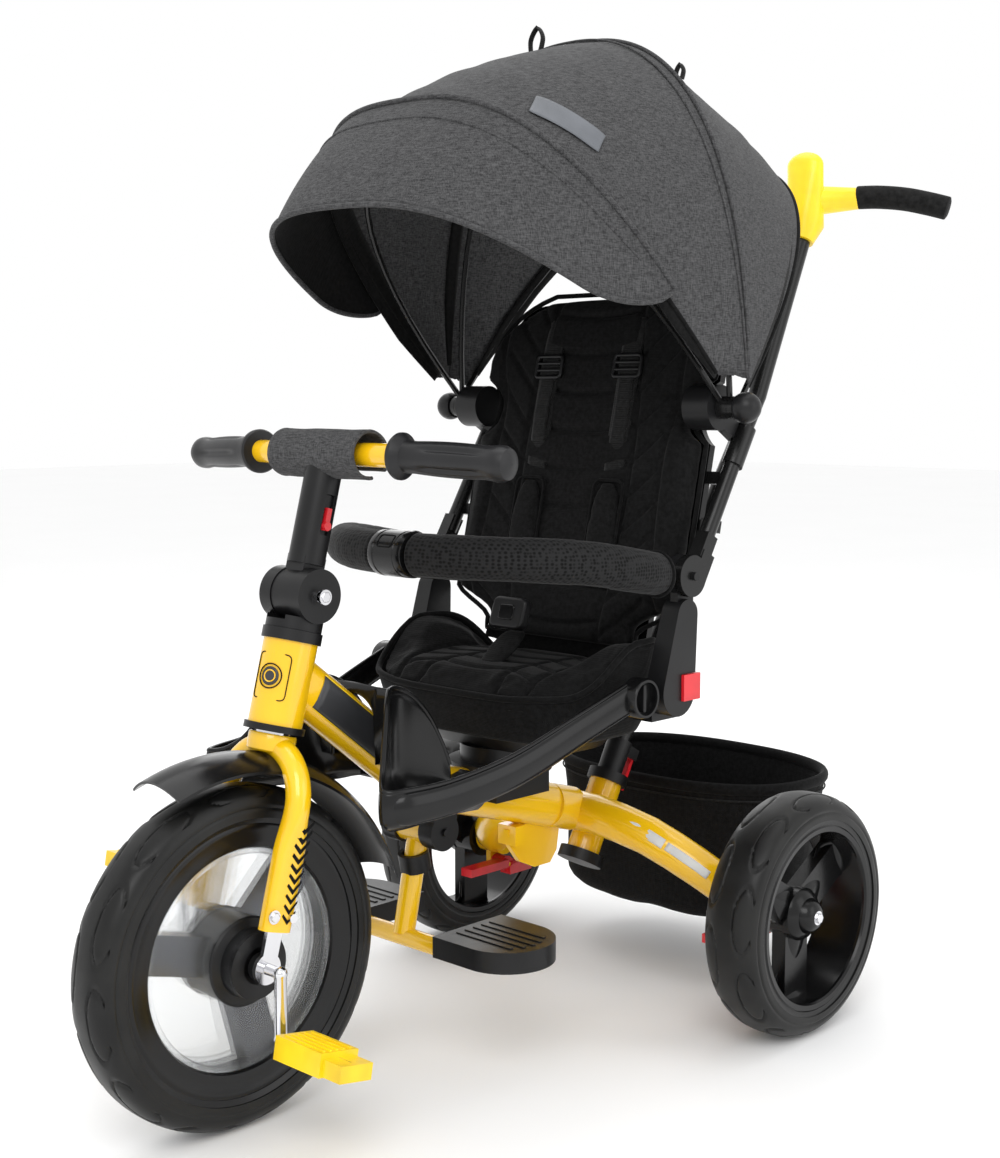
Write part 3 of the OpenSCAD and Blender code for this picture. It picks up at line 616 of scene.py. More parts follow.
def visor_place(u, v):
    t0 = VISOR_BOW.start(VISOR_LOW)
    r, x = VISOR_BOW.at(t0 + (math.pi - 2 * t0) * u)
    theta = VISOR_BACK + (visor_edge(r) - VISOR_BACK) * v
    flare = (VISOR_BACK - theta) / VISOR_DEEP
    wave = noise.noise(Vector((x * 11, theta * 0.05, 7))) * 0.002 * flare
    return polar(theta, r * (1 + 0.022 * flare) + wave, x * (1 - 0.02 * flare))


def make_visor():
    obj, size = cloth("canopy_visor_cloth", grid(160, 22, visor_place), "canopy_front", None,
                      "canopy_visor", BINDING)
    hem = seam("visor_hem", [visor_place(i / 160, 1) for i in range(161)], 0.0026, MELANGE, "canopy_front")
    back = [visor_place(i / 160, 0) + Vector((0, 0, 0.001)) for i in range(161)]
    pipe = seam("visor_piping", back, 0.0028, MELANGE, "canopy_front")
    fold = [visor_place(i / 160, 0.22) for i in range(8, 153)]
    groove = seam("visor_fold", fold, 0.0013, MELANGE_DARK, "canopy_front")


def rib_tape(name, bow, theta, body, width):
    """A black tape that holds a hoop under the cloth."""
    t0 = bow.start(0.05)
    spread = math.degrees(width / 2 / bow.crown)

    def place(u, v):
        r, x = bow.at(t0 + (math.pi - 2 * t0) * u)
        return polar(theta + spread * (2 * v - 1) * bow.crown / max(r, 0.12), r - 0.005, x * 0.985)
    return piece(name, *grid(90, 5, place), BINDING, body, "black_fabric", thick=0.0012, smooth=60)


def canopy_loop(name, place, size=1.0):
    """A small webbing loop that stands up from a seam."""
    pts = [place + size * Vector(p) for p in ((-0.006, 0, -0.004), (-0.008, 0.002, 0.010),
                                              (-0.001, 0.004, 0.021), (0.007, 0.003, 0.011),
                                              (0.006, 0, -0.004))]
    tube(name, pts, 0.0032, STRAP, "canopy_middle", "black_fabric", sides=10, flat=0.45, up=(1, 0, 0))


def surface_patch(name, first, second, puff, corners, lift, material):
    """A rounded film patch that lies on a panel: corners are (f, t) pairs, low to high."""
    (f0, t0), (f1, t1), (f2, t2), (f3, t3) = corners

    def place(u, v):
        squeeze = 1 - 0.10 * (abs(2 * u - 1) ** 10)
        w = 0.5 + (v - 0.5) * squeeze
        fa, ta = f0 + (f1 - f0) * u, t0 + (t1 - t0) * u
        fb, tb = f3 + (f2 - f3) * u, t3 + (t2 - t3) * u
        p = spanned(first, second, fa + (fb - fa) * w, ta + (tb - ta) * w, puff)
        return p + (p - HINGE).normalized() * lift
    obj = apply_all(piece(name, *grid(30, 10, place), material, None, "grey_fabric", thick=0.0006,
                          smooth=60))
    return carry(obj, ("canopy_middle", "canopy_front"), (second.angle, first.angle))


def make_canopy():
    rear = canopy_panel("canopy_rear_cloth", REAR_TOP, REAR_BOW, ("backrest", "canopy_middle"),
                        "canopy_rear_panel", 0.35)
    main = canopy_panel("canopy_main_cloth", FRONT_BOW, MID_BOW, ("canopy_middle", "canopy_front"),
                        "canopy_main_panel", MAIN_PUFF)
    rear_hem = seam("canopy_rear_hem", hoop(REAR_BOW, 131, 0.0), 0.0024, BINDING, "backrest")
    mid_pipe = seam("canopy_mid_piping", hoop(MID_BOW, 88, 0.0012), 0.0021, MELANGE, "canopy_middle")
    mid_stitch = seam("canopy_mid_fold", hoop(MID_BOW, 85, 0.0002), 0.0012, MELANGE_DARK, "canopy_middle")
    front_hem = seam("canopy_front_hem", hoop(FRONT_BOW, 44, -0.002, 0.05), 0.0024, BINDING, "canopy_front")
    patch = surface_patch("canopy_patch", FRONT_BOW, MID_BOW, MAIN_PUFF, PATCH_CORNERS, 0.0022, PATCH)
    make_visor()
    rib_tape("canopy_mid_tape", MID_BOW, 87, "canopy_middle", 0.018)
    rib_tape("canopy_front_tape", FRONT_BOW, 45, "canopy_front", 0.03)
    rib_tape("canopy_rear_tape", REAR_BOW, 128, "backrest", 0.018)
    canopy_loop("canopy_top_loop", polar(79, 0.357, -0.010))
    canopy_loop("canopy_side_loop", polar(89, 0.316, 0.120), 0.55)


# ---- Cushions ----

def simulate_pad(obj, pressure=4.0, cap=0.008, frames=20, voxel=0.005):
    """Puffs a closed pad by cloth pressure and keeps each point within cap of its start."""
    apply_all(obj)
    remesh = obj.modifiers.new("remesh", "REMESH")
    remesh.mode = "VOXEL"
    remesh.voxel_size = voxel
    apply_all(obj)
    start = [v.co.copy() for v in obj.data.vertices]
    sim = obj.modifiers.new("puff", "CLOTH")
    sim.settings.use_pressure = True
    sim.settings.uniform_pressure_force = pressure
    sim.settings.tension_stiffness = 30
    sim.settings.compression_stiffness = 30
    sim.settings.effector_weights.gravity = 0
    sim.collision_settings.use_collision = False
    sim.collision_settings.use_self_collision = False
    sim.point_cache.frame_start = 1
    sim.point_cache.frame_end = frames
    scene = bpy.context.scene
    for step in range(1, frames + 1):
        scene.frame_set(step)
    graph = bpy.context.evaluated_depsgraph_get()
    moved = [v.co.copy() for v in obj.evaluated_get(graph).data.vertices]
    obj.modifiers.clear()
    scene.frame_set(1)
    for vert, old, new in zip(obj.data.vertices, start, moved):
        shift = new - old
        if shift.length > cap:
            shift = shift.normalized() * cap
        vert.co = old + shift
    sub = obj.modifiers.new("round", "SUBSURF")
    sub.levels = 1
    apply_all(obj)
    for face in obj.data.polygons:
        face.use_smooth = True
    return obj


def sew(obj, inverse, depth):
    """Pulls in sewn channels: depth(p, normal) gives metres inward in a local frame."""
    data = obj.data
    normals = [v.normal.copy() for v in data.vertices]
    turn = inverse.to_3x3()
    for vert, normal in zip(data.vertices, normals):
        pull = depth(inverse @ vert.co, turn @ normal)
        if pull:
            vert.co -= normal * pull
    data.update()


def groove(distance, width=0.0032):
    """1 on a seam's line, falling to 0 beside it."""
    return math.exp(-(distance / width) ** 2)


def seat_height(x, y):
    """How far the seat's sides climb, in metres, from millimetre places."""
    side = smoothstep(abs(x), 84, 146)
    back = smoothstep(y, -236, -150)
    dip = 4 * smoothstep(-y, 200, 262) * (1 - smoothstep(abs(x), 60, 150))
    return (46 * side * back - dip) * MM


def make_seat_cushion():
    half_x, half_y, cy = 150, 92, -166

    def place(u, v):
        a = 2 * math.pi * u
        ring = math.sin(math.pi * v)
        n = 2 / 3.0
        c, d = soft_circle(a, n)
        cx, sy = c * half_x * ring ** 0.45, d * half_y * ring ** 0.45
        z = 353.5 - 10.5 * math.cos(math.pi * v)
        y = cy + sy
        return at(cx, y, z) + Vector((0, 0, seat_height(cx, y)))
    obj = piece("seat_cushion_pad", *grid(96, 26, place, wrap_rows=True), SEAT_CLOTH, None, None)
    simulate_pad(obj, 4.0, 0.007)

    def depth(p, normal):
        if normal.z < 0.15:
            return 0
        x, y = p.x / MM, (p.y - REAR_AXLE_Y) / MM
        cut = groove((abs(x) - 46 - 0.0012 * (y + 170) ** 2) * MM)
        cut = max(cut, groove((abs(x) - 92 + 0.0010 * (y + 170) ** 2) * MM))
        if abs(x) < 46:
            for row in (-222, -190, -158, -126):
                cut = max(cut, groove((y - row - 0.004 * x * x) * MM))
        elif abs(x) < 92:
            for row in (-214, -184, -154, -124):
                cut = max(cut, groove((y - row + 0.42 * (abs(x) - 46)) * MM) * 0.9)
        return 0.0042 * cut
    sew(obj, WORLD, depth)
    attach(obj, "frame")
    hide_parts("seat_cushion")
    rim = []
    for i in range(121):
        a = 2 * math.pi * i / 120
        c, d = soft_circle(a, 2 / 3)
        cx, y = c * (half_x - 1.4), cy + d * (half_y - 1.4)
        rim.append(at(cx, y, 352) + Vector((0, 0, seat_height(cx, y))))
    tube("seat_piping", rim[:-1], 0.0032, BINDING, "frame", "black_fabric", sides=10, steps=1, closed=True)


def make_seat_skirt():
    """The cloth skirt that hangs from the cushion's edge over the seat pan."""
    def place(u, v):
        a = 2 * math.pi * u
        half_x, half_y = 148 - 12 * v - 10 * v * v, 93 - 4 * v - 8 * v * v
        n = 2 / (3.0 + 0.2 * v)
        c, d = soft_circle(a, n)
        x, y = c * half_x, -164 + d * half_y
        fold = noise.noise(Vector((x * 0.03, y * 0.03, v * 1.5))) * 8 * v * (1 - v)
        z = 350 - 44 * v
        top = seat_height(x, y) * (1 - v) ** 2
        return at(x * (1 + fold * 0.004), y * (1 + fold * 0.002), z) + Vector((0, 0, top))
    obj = piece("seat_skirt", *grid(120, 16, place, wrap_rows=True), SEAT_CLOTH, "frame", "black_fabric",
                thick=0.0016, smooth=60)


BACK_HALF = 0.155
BACK_LOW, BACK_HIGH = -0.084, 0.291
NOTCH = (0.168, 0.166, 0.035)


def back_half_width(z):
    """The pad's half width at a height, with its narrow foot, hinge notches and round head."""
    half = BACK_HALF
    if z < -0.03:
        half = 0.104 + (BACK_HALF - 0.104) * smoothstep(z, -0.062, -0.028)
    away = abs(z - NOTCH[1])
    if away < NOTCH[2]:
        half = min(half, NOTCH[0] - math.sqrt(NOTCH[2] ** 2 - away ** 2))
    top = z - (BACK_HIGH - 0.085)
    if top > 0:
        half = min(half, BACK_HALF - 0.052 + 0.052 * math.sqrt(max(0.0, 1 - (top / 0.085) ** 2)) - 0.045
                   * (top / 0.085) ** 3)
    return half


def make_back_pad():
    thick = 0.022

    def place(u, v):
        z = BACK_LOW + 0.004 + (BACK_HIGH - BACK_LOW - 0.008) * u
        half = back_half_width(z) - 0.004
        a = 2 * math.pi * v
        c, d = soft_circle(a, 0.55)
        x, y = c * half, 0.027 - d * thick / 2
        wing = 0.010 * smoothstep(abs(x), 0.095, 0.155)
        return (x, y - wing * (y < 0.027), z)
    verts, faces = grid(110, 64, place, wrap_cols=True)
    faces.append(tuple(range(63, -1, -1)))
    faces.append(tuple(109 * 64 + k for k in range(64)))
    obj = piece("back_pad_cushion", verts, faces, SEAT_CLOTH, None, None, where=BACK)
    simulate_pad(obj, 4.0, 0.006, voxel=0.0055)
    inner = BACK.inverted()

    def depth(p, normal):
        if normal.y > -0.25:
            return 0
        x, z = abs(p.x), p.z
        edge = 0.058 + 0.016 * math.cos((z - 0.10) * 9)
        cut = groove(x - edge)
        cut = max(cut, groove(x - (BACK_HALF - 0.030) + 0.012 * math.cos((z - 0.1) * 12)) * 0.9)
        if x < edge:
            step = 0.040
            row = (z + 0.020 - 1.8 * x * x) / step
            cut = max(cut, groove((row - round(row)) * step))
        elif x < BACK_HALF - 0.040:
            step = 0.036
            row = (z - 0.9 * (x - edge)) / step
            cut = max(cut, groove((row - round(row)) * step) * 0.85)
        return 0.0040 * cut
    sew(obj, inner, depth)
    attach(obj, "backrest")
    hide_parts("back_pad")
    rim = []
    for side in (1, -1):
        for i in range(61):
            f = i / 60 if side > 0 else 1 - i / 60
            z = BACK_LOW + 0.012 + (BACK_HIGH - BACK_LOW - 0.015) * f
            rim.append((side * (back_half_width(z) - 0.0022), 0.026, z))
    tube("back_piping", rim, 0.0026, BINDING, "backrest", "black_fabric", sides=8, steps=1, closed=True,
         up=(0, 1, 0), where=BACK)


# ---- Wheels ----

def axle(origin):
    """A frame whose local Z runs along the row's X, with local X up."""
    return Matrix.Translation(origin) @ Matrix(((0, 0, 1), (0, -1, 0), (1, 0, 0))).to_4x4()


def loop_mark(angle, side, count, half_turn, lateral, centre):
    """How deep a raised-edge loop is cut at a place on the tyre's shoulder, from 0 to 1."""
    step = 2 * math.pi / count
    off = (angle / step - round(angle / step)) * step
    reach = math.hypot(off / half_turn, (side - centre) / lateral)
    return math.exp(-((reach - 1) / 0.07) ** 2) if side < centre + lateral * 0.8 else 0.0


def make_tyre(name, origin, big, seat, width, body, node, count):
    """A foam tyre with half-oval loops on both shoulders and a fine line on each wall."""
    def surface(angle, v, r, z):
        t = math.pi * (v - 0.5)
        round_r = seat + (big - seat) * math.cos(t) ** 0.62 if abs(t) < math.pi / 2 - 1e-6 else seat
        round_z = width / 2 * math.copysign(abs(math.sin(t)) ** 0.8, t)
        side = abs(round_z) / (width / 2)
        shift = math.pi / count if round_z < 0 else 0.0
        cut = loop_mark(angle + shift, side, count, 0.105 * 12 / count * 1.9, 0.32, 0.62)
        line = math.exp(-((round_r - seat - (big - seat) * 0.34) / 0.0011) ** 2)
        depth = 0.0018 * cut + 0.0010 * line
        return round_r - depth * math.cos(t), round_z - depth * math.sin(t)
    profile = [(seat, 0)] * 76
    obj = lathe(name, profile, TYRE, body, "tyre", where=axle(origin), segments=336, wobble=surface)
    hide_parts(node)


def wheel_ring(name, origin, side, profile, material, body, slot, segments=128):
    """A turned ring on an axle, with its profile given for the rider's left."""
    mirrored = [(r, side * z) for r, z in profile]
    lathe(name, mirrored, material, body, slot, where=axle(origin), segments=segments)


def bolt(name, origin, normal, radius, height, body):
    """A chrome six-sided bolt head with a washer under it."""
    where = facing(origin, normal)
    head = [(radius * math.cos(2 * math.pi * k / 6), radius * math.sin(2 * math.pi * k / 6))
            for k in range(6)]
    slab(name, rounded(head, radius * 0.12, 2), 0, height, CHROME, body, "chrome", where=where,
         bevel=radius * 0.12)
    lathe(name + "_washer", [(0.0004, 0.0), (radius * 1.35, 0.0), (radius * 1.35, height * 0.25),
                             (0.0004, height * 0.3)], CHROME, body, "chrome", where=where, segments=32)


def make_front_wheel():
    make_tyre("front_tyre_skin", FRONT_AXLE, 0.150, 0.124, 0.053, "front_wheel", "front_tyre", 11)
    ring = [(0.0966, 0.0168), (0.0985, 0.0200), (0.104, 0.0212), (0.113, 0.0222), (0.1150, 0.0232),
            (0.1170, 0.0232), (0.1190, 0.0225), (0.1245, 0.0246), (0.1245, 0.0180), (0.100, 0.0140),
            (0.0968, 0.0140)]
    for side, name in ((1, "left"), (-1, "right")):
        wheel_ring("front_rim_face_" + name, FRONT_AXLE, side, ring, GLOSS_BLACK, "front_wheel",
                   "gloss_black")
        cap = [(0.0004, 0.0400), (0.016, 0.0400), (0.0262, 0.0392), (0.0288, 0.0372), (0.0295, 0.0340),
               (0.0302, 0.0260), (0.0340, 0.0250), (0.0375, 0.0244), (0.0392, 0.0228), (0.0392, 0.0200),
               (0.0004, 0.0200)]
        wheel_ring("front_hub_cap_" + name, FRONT_AXLE, side, cap, SATIN_BLACK, "front_wheel",
                   "black_plastic", 72)
        lip = [(0.0955, 0.0150), (0.0968, 0.0164), (0.0962, 0.0180), (0.0930, 0.0172), (0.0915, 0.0158),
               (0.0930, 0.0146)]
        wheel_ring("front_cover_lip_" + name, FRONT_AXLE, side, lip, CLEAR, "front_wheel", "clear")


def make_rear_wheels():
    def one(side, name):
        origin = at(230 * side, 0, 120.5)
        body = name + "_rear_wheel"
        make_tyre("rear_tyre_skin_" + name, origin, 0.1205, 0.097, 0.060, body, "rear_tyre_" + name, 9)
        face = [(0.0845, 0.0262), (0.0858, 0.0285), (0.0905, 0.0292), (0.0922, 0.0280), (0.0940, 0.0280),
                (0.0975, 0.0288), (0.0975, 0.0230), (0.0850, 0.0230)]
        wheel_ring("rear_rim_face_" + name, origin, side, face, GLOSS_BLACK, body, "gloss_black")
        wheel_ring("rear_rim_back_" + name, origin, -side, face, GLOSS_BLACK, body, "gloss_black")
        dome = [(0.0062, 0.0268), (0.0095, 0.0262), (0.0135, 0.0240), (0.0160, 0.0205), (0.0178, 0.0160),
                (0.0235, 0.0125), (0.0262, 0.0085), (0.0262, 0.0), (0.0062, 0.0)]
        wheel_ring("rear_hub_dome_" + name, origin, side, dome, GLOSS_BLACK, body, "gloss_black", 64)
        bolt("rear_hub_bolt_" + name, origin + Vector((side * 0.0262, 0, 0)), (side, 0, 0), 0.0052, 0.0036,
             body)
        for k in range(3):
            angle = math.radians(60 + 120 * k)
            make_petal("rear_spoke_%s_%d" % (name, k + 1), origin, side, angle, body)
    both(one)


def make_petal(name, origin, side, angle, body):
    """A folded spoke face: raised down its middle, wider towards the rim."""
    def place(u, v):
        r = 0.020 + 0.0668 * u
        half = 0.0155 + 0.0075 * smoothstep(u, 0.2, 1.0)
        w = (2 * v - 1) * half
        lift = 0.0150 - 0.010 * smoothstep(u, 0.0, 0.9) - 0.0042 * abs(2 * v - 1) ** 1.5
        lift += 0.012 * smoothstep(u, 0.82, 1)
        return (r * math.cos(angle) - w * math.sin(angle), r * math.sin(angle) + w * math.cos(angle),
                side * (lift - 0.0105))
    piece(name, *grid(18, 13, place), GLOSS_BLACK, body, "gloss_black", thick=0.0030, smooth=50,
          where=axle(origin))


# ---- Steering ----

def head_point(turn, s, lift=0.0004):
    """A point on the head tube at degrees from forward towards the rider's left."""
    a = math.radians(turn)
    r = 0.024 + lift
    return (r * math.sin(a), -r * math.cos(a), s)


def make_badge():
    """A plain round badge in a rounded square line, with no mark of any maker."""
    def spot(x, y, lift=0.0004):
        return head_point(20 + math.degrees(x / 0.024), 0.243 + y, lift)
    outline = box_outline(0.033, 0.040, 0.005)
    tube("badge_outline", [spot(x, y) for x, y in outline], 0.0005, BINDING, "frame", "black_plastic",
         sides=6, steps=1, closed=True, up=(0, 0.3, 1), where=STEER)

    def disc(u, v):
        a = 2 * math.pi * u
        return spot(0.0082 * v * math.cos(a), 0.0082 * v * math.sin(a), 0.0005)
    piece("badge_disc", *grid(40, 6, disc, wrap_rows=True), LABEL, "frame", "black_plastic", thick=0.0005,
          where=STEER)
    for number, r in ((1, 0.0050), (2, 0.0106)):
        ring = [spot(r * math.cos(2 * math.pi * k / 40), r * math.sin(2 * math.pi * k / 40), 0.0009)
                for k in range(40)]
        tube("badge_ring_%d" % number, ring, 0.0006, YELLOW if number == 1 else BINDING, "frame",
             "black_plastic", sides=6, steps=1, closed=True, up=(0, 0.3, 1), where=STEER)


def make_fork():
    """Round arched crown tube whose legs flatten towards the axle."""
    path = [(0.050, 0.032 + 0.1020 * k / 24) for k in range(25)]
    path += [(0.050 * math.cos(math.pi * k / 28), 0.134 + 0.050 * math.sin(math.pi * k / 28))
             for k in range(1, 28)]
    path += [(-x, z) for x, z in reversed(path[:25])]
    sides = 32
    verts = []
    for i, (x, z) in enumerate(path):
        ahead, behind = path[min(i + 1, len(path) - 1)], path[max(i - 1, 0)]
        along = Vector((ahead[0] - behind[0], 0, ahead[1] - behind[1])).normalized()
        across = Vector((along.z, 0, -along.x))
        flat = 1 - smoothstep(z, 0.098, 0.136)
        thin, wide = 0.011 - 0.003 * flat, 0.011 + 0.004 * flat
        power = 1 - 0.35 * flat
        for k in range(sides):
            a = 2 * math.pi * k / sides
            c, s = soft_circle(a, power)
            verts.append(Vector((x, 0, z)) + across * (thin * c) + Vector((0, wide * s, 0)))
    count = len(path)
    faces = [(i * sides + k, i * sides + (k + 1) % sides, (i + 1) * sides + (k + 1) % sides,
              (i + 1) * sides + k) for i in range(count - 1) for k in range(sides)]
    faces += [tuple(range(sides - 1, -1, -1)), tuple((count - 1) * sides + k for k in range(sides))]
    obj = piece("fork_tube", verts, faces, YELLOW, "steering", "yellow_metal", smooth=45, where=STEER)
    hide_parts("fork")
    collar = [(0.0004, 0.178), (0.0190, 0.178), (0.0208, 0.1795), (0.0212, 0.184), (0.0212, 0.1925),
              (0.0205, 0.194), (0.0004, 0.194)]
    lathe("fork_collar", collar, YELLOW, "steering", "yellow_metal", where=STEER, segments=64)


def make_chevrons():
    """Black V marks down the outer face of each fork leg."""
    def one(side, name):
        for k in range(10):
            s = 0.118 - 0.0085 * k
            w = 0.0085 - 0.0002 * k
            t = 0.0031 - 0.00012 * k
            cy = 0.0056
            shape = [(cy - w, s + 0.0042), (cy - w + 0.001, s + 0.0042 + t), (cy, s + t - 0.001),
                     (cy + w, s + 0.0076 + t), (cy + w, s + 0.0076), (cy, s - 0.0024)]
            x = side * (0.0579 + 0.0016 * smoothstep(s, 0.100, 0.130))
            verts = [(x, y, z) for y, z in shape] + [(x + side * 0.0007, y, z) for y, z in shape]
            count = len(shape)
            faces = [tuple(range(count)), tuple(range(2 * count - 1, count - 1, -1))]
            faces += [(i, (i + 1) % count, (i + 1) % count + count, i + count) for i in range(count)]
            piece("fork_mark_%s_%d" % (name, k + 1), verts, faces, BINDING, "steering", "black_plastic",
                  where=STEER)
    both(one)


def make_down_label():
    """The dark film on each side of the main tube, with no lettering."""
    head, knee = at(0, -457.5, 390.6), at(0, -292, 262)
    along = (knee - head).normalized()
    over = Vector((1, 0, 0)).cross(along)
    if over.z < 0:
        over = -over

    def one(side, name):
        def place(u, v):
            w = (2 * v - 1) * 15.5 * MM
            bend = max(abs(w) - 5 * MM, 0)
            x = side * (math.sqrt((19 * MM) ** 2 - bend ** 2) + 0.0005)
            taper = 0.004 * (1 - v)
            return head + along * (0.030 + taper + 0.128 * u) + over * (w + 0.001) + Vector((x, 0, 0))
        piece("down_tube_film_" + name, *grid(16, 14, place), LABEL, "frame", "black_plastic", thick=0.0004)
        for number, v0 in ((1, 0.0), (2, 1.0)):
            edge = [place(k / 15, v0) for k in range(16)]
            tube("down_tube_line_%s_%d" % (name, number), edge, 0.0006, YELLOW_PLASTIC, "frame",
                 "yellow_plastic", sides=6, steps=1, up=(1, 0, 0))
    both(one)


BEAM = [(30, -69, 197.5), (58, -64, 192), (90, -58, 183.5), (118, -51, 171), (142, -42, 157),
        (160, -31, 143), (172, -18, 131)]

BEAM_FRONT = Vector((0.0, -0.86, 0.52))


def make_beam_label():
    """Two blank pale labels on the beam's near front face."""
    line = smooth_path([at(*p) for p in BEAM], 10)
    for name, first, last, half in (("1", 2, 27, 0.0052), ("2", 28, 44, 0.0044)):
        def place(u, v, first=first, last=last, half=half):
            i = min(int(first + (last - first) * u), len(line) - 2)
            along = (line[i + 1] - line[i]).normalized()
            outward = (BEAM_FRONT - along * along.dot(BEAM_FRONT)).normalized()
            side = along.cross(outward)
            radius = 0.0190
            turn = (2 * v - 1) * half / radius
            return line[i] + outward * (radius * math.cos(turn) + 0.0006) + side * radius * math.sin(turn)
        piece("beam_label_" + name, *grid(last - first + 1, 6, place), PALE_LABEL, "frame",
              "yellow_plastic", thick=0.0004)


def make_handlebar():
    """Fluted rubber grips and the cloth wrap with its open lower edge."""
    lean = math.atan2(0.017, 0.208 - 0.095)

    def one(side, name):
        origin = STEER @ Vector((side * 0.092, 0, 0.445))
        end = STEER @ Vector((side * (0.092 + math.cos(lean)), math.sin(lean), 0.445))
        profile = [(0.0106, 0.0005), (0.0190, 0.0010), (0.0203, 0.0030), (0.0203, 0.0056), (0.0180, 0.0082),
                   (0.0142, 0.0115), (0.0138, 0.0200)]
        profile += [(0.0138 + 0.0012 * math.sin(math.pi * k / 12), 0.020 + 0.080 * k / 12)
                    for k in range(1, 12)]
        profile += [(0.0146, 0.1010), (0.0153, 0.1060), (0.0150, 0.1115), (0.0130, 0.1160),
                    (0.0085, 0.1185), (0.0004, 0.1190), (0.0004, 0.1150), (0.0106, 0.1140)]

        def flute(angle, v, r, z):
            along = smoothstep(z, 0.030, 0.040) * (1 - smoothstep(z, 0.088, 0.098))
            if r > 0.0120:
                r -= 0.0024 * along * max(0.0, math.cos(angle * 5)) ** 2
            return r, z
        obj = lathe("handlebar_grip_" + name, profile, GRIP_RUBBER, "handlebars", "black_plastic",
                    where=facing(origin, end - origin), segments=96, wobble=flute)
        if side > 0:
            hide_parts("handlebar_grips")
    both(one)

    def wrap(u, v):
        a = math.radians(-112 + 314 * u)
        r = 0.0202 + 0.0020 * smoothstep(u, 0.85, 1.0) + 0.0006 * noise.noise(Vector((v * 5, u * 6, 2)))
        x = (2 * v - 1) * 0.0565
        return (x, -r * math.cos(a), 0.445 + r * math.sin(a))
    obj = piece("bar_wrap", *grid(60, 40, wrap), MELANGE, "handlebars", "grey_fabric", thick=0.0030,
                smooth=50, where=STEER)
    tidy_normals(obj.data)
    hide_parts("bar_pad")
    hems = [tube("bar_wrap_hem_" + name, [wrap(k / 40, v) for k in range(41)], 0.0017, MELANGE_DARK,
                 "handlebars", "grey_fabric", sides=8, steps=1, up=(1, 0, 0), where=STEER) for name,
            v in (("left", 1.0), ("right", 0.0))]
    hems.append(tube("bar_wrap_edge", [wrap(1.0, k / 30) for k in range(31)], 0.0018, MELANGE_DARK,
                     "handlebars", "grey_fabric", sides=8, steps=1, where=STEER))


PEDAL_TILT = math.radians(-10)


def make_pedals():
    def one(side, name):
        low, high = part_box("pedal_" + name)
        mid = (low + high) / 2
        wide = (high.x - low.x) - 0.026
        spin = joint_place(name + "_pedal_spin")
        turn = Matrix.Translation(spin) @ Matrix.Rotation(PEDAL_TILT, 4, "X")
        x = mid.x - turn.translation.x - side * 0.010
        for k in range(5):
            y = -0.014 + 0.007 * k
            for top in (1, -1):
                where = turn @ Matrix.Translation((x, y, top * 0.0100))
                slab("pedal_rib_%s_%d_%s" % (name, k + 1, "top" if top > 0 else "low"),
                     box_outline(wide - 0.004, 0.0024, 0.001), -0.0008, 0.0012, YELLOW_PLASTIC,
                     name + "_pedal", "yellow_plastic", where=where, bevel=0.0005, segments=2)
    both(one)


# ---- Guard bar ----

GUARD = [(21, -209.5, 24), (60, -202, 24), (90, -191, 24), (114, -176, 23.5), (134, -158, 22.5),
         (150, -135, 20.5), (160, -112, 17.5), (165, -86, 12.5), (166, -58, 7.5), (164, -34, 3.5)]


def make_guard():
    def one(side, name):
        pts = [PIVOT + Vector((side * x * MM, y * MM, z * MM)) for x, y, z in GUARD]
        soft = [0.0203 + 0.0003 * math.sin(k * 1.7) for k in range(12)]

        def radius(t):
            ends = smoothstep(t, 0.0, 0.012) * (1 - smoothstep(t, 0.985, 1.0))
            return soft[min(int(t * 11), 11)] * (0.90 + 0.10 * ends)
        obj = tube("guard_sleeve_" + name, pts, radius, KNIT, "guard", "black_fabric", sides=40, steps=10)
        if side > 0:
            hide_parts("guard_bar")
        edge = [pts[-1] + Vector((0.0212 * math.cos(2 * math.pi * k / 32), -0.001,
                                  0.0212 * math.sin(2 * math.pi * k / 32))) for k in range(32)]
        tube("guard_binding_" + name, edge, 0.0016, BINDING, "guard", "black_fabric", sides=8, steps=1,
             closed=True, up=(0, 1, 0))
        under = [p + Vector((0, 0.001, -0.0203)) for p in pts]
        tube("guard_stitch_" + name, under, 0.0009, BINDING, "guard", "black_fabric", sides=6)
    both(one)
    middle = PIVOT + Vector((0, -0.2105, 0.024))
    clasp = [(0.0205, -0.0222), (0.0216, -0.0205), (0.0218, -0.0150), (0.0212, -0.0143), (0.0212, -0.0128),
             (0.0218, -0.0120), (0.0218, 0.0120), (0.0212, 0.0128), (0.0212, 0.0143), (0.0218, 0.0150),
             (0.0216, 0.0205), (0.0205, 0.0222), (0.0100, 0.0222), (0.0100, -0.0222)]
    obj = lathe("guard_clasp_shell", clasp, GLOSS_BLACK, "guard", "black_plastic", where=axle(middle),
                segments=72)
    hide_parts("guard_clasp")
    outline = box_outline(0.019, 0.013, 0.003)
    lines = []
    for x, y in outline:
        a = math.radians(38) + y / 0.0218
        lines.append(middle + Vector((x, -0.0219 * math.cos(a), 0.0219 * math.sin(a))))
    tube("guard_button_line", lines, 0.0007, BINDING, "guard", "black_plastic", sides=6, steps=1,
         closed=True, up=(0, -0.8, 0.6))


# ---- Foot tray ----

TRAY_EDGE = [(166, -188, 364, 336), (160, -246, 344, 316), (150, -318, 318, 290), (140, -384, 304, 276),
             (131, -432, 301, 270), (122, -449, 301, 268), (109, -441, 303, 267), (97, -429, 313, 268),
             (86, -417, 332, 268), (74, -404, 352, 269), (62, -391, 366, 270), (52, -379, 371, 271),
             (47, -364, 369, 271), (47, -346, 359, 270), (47, -328, 340, 270), (47, -312, 314, 269),
             (46, -300, 290, 268)]

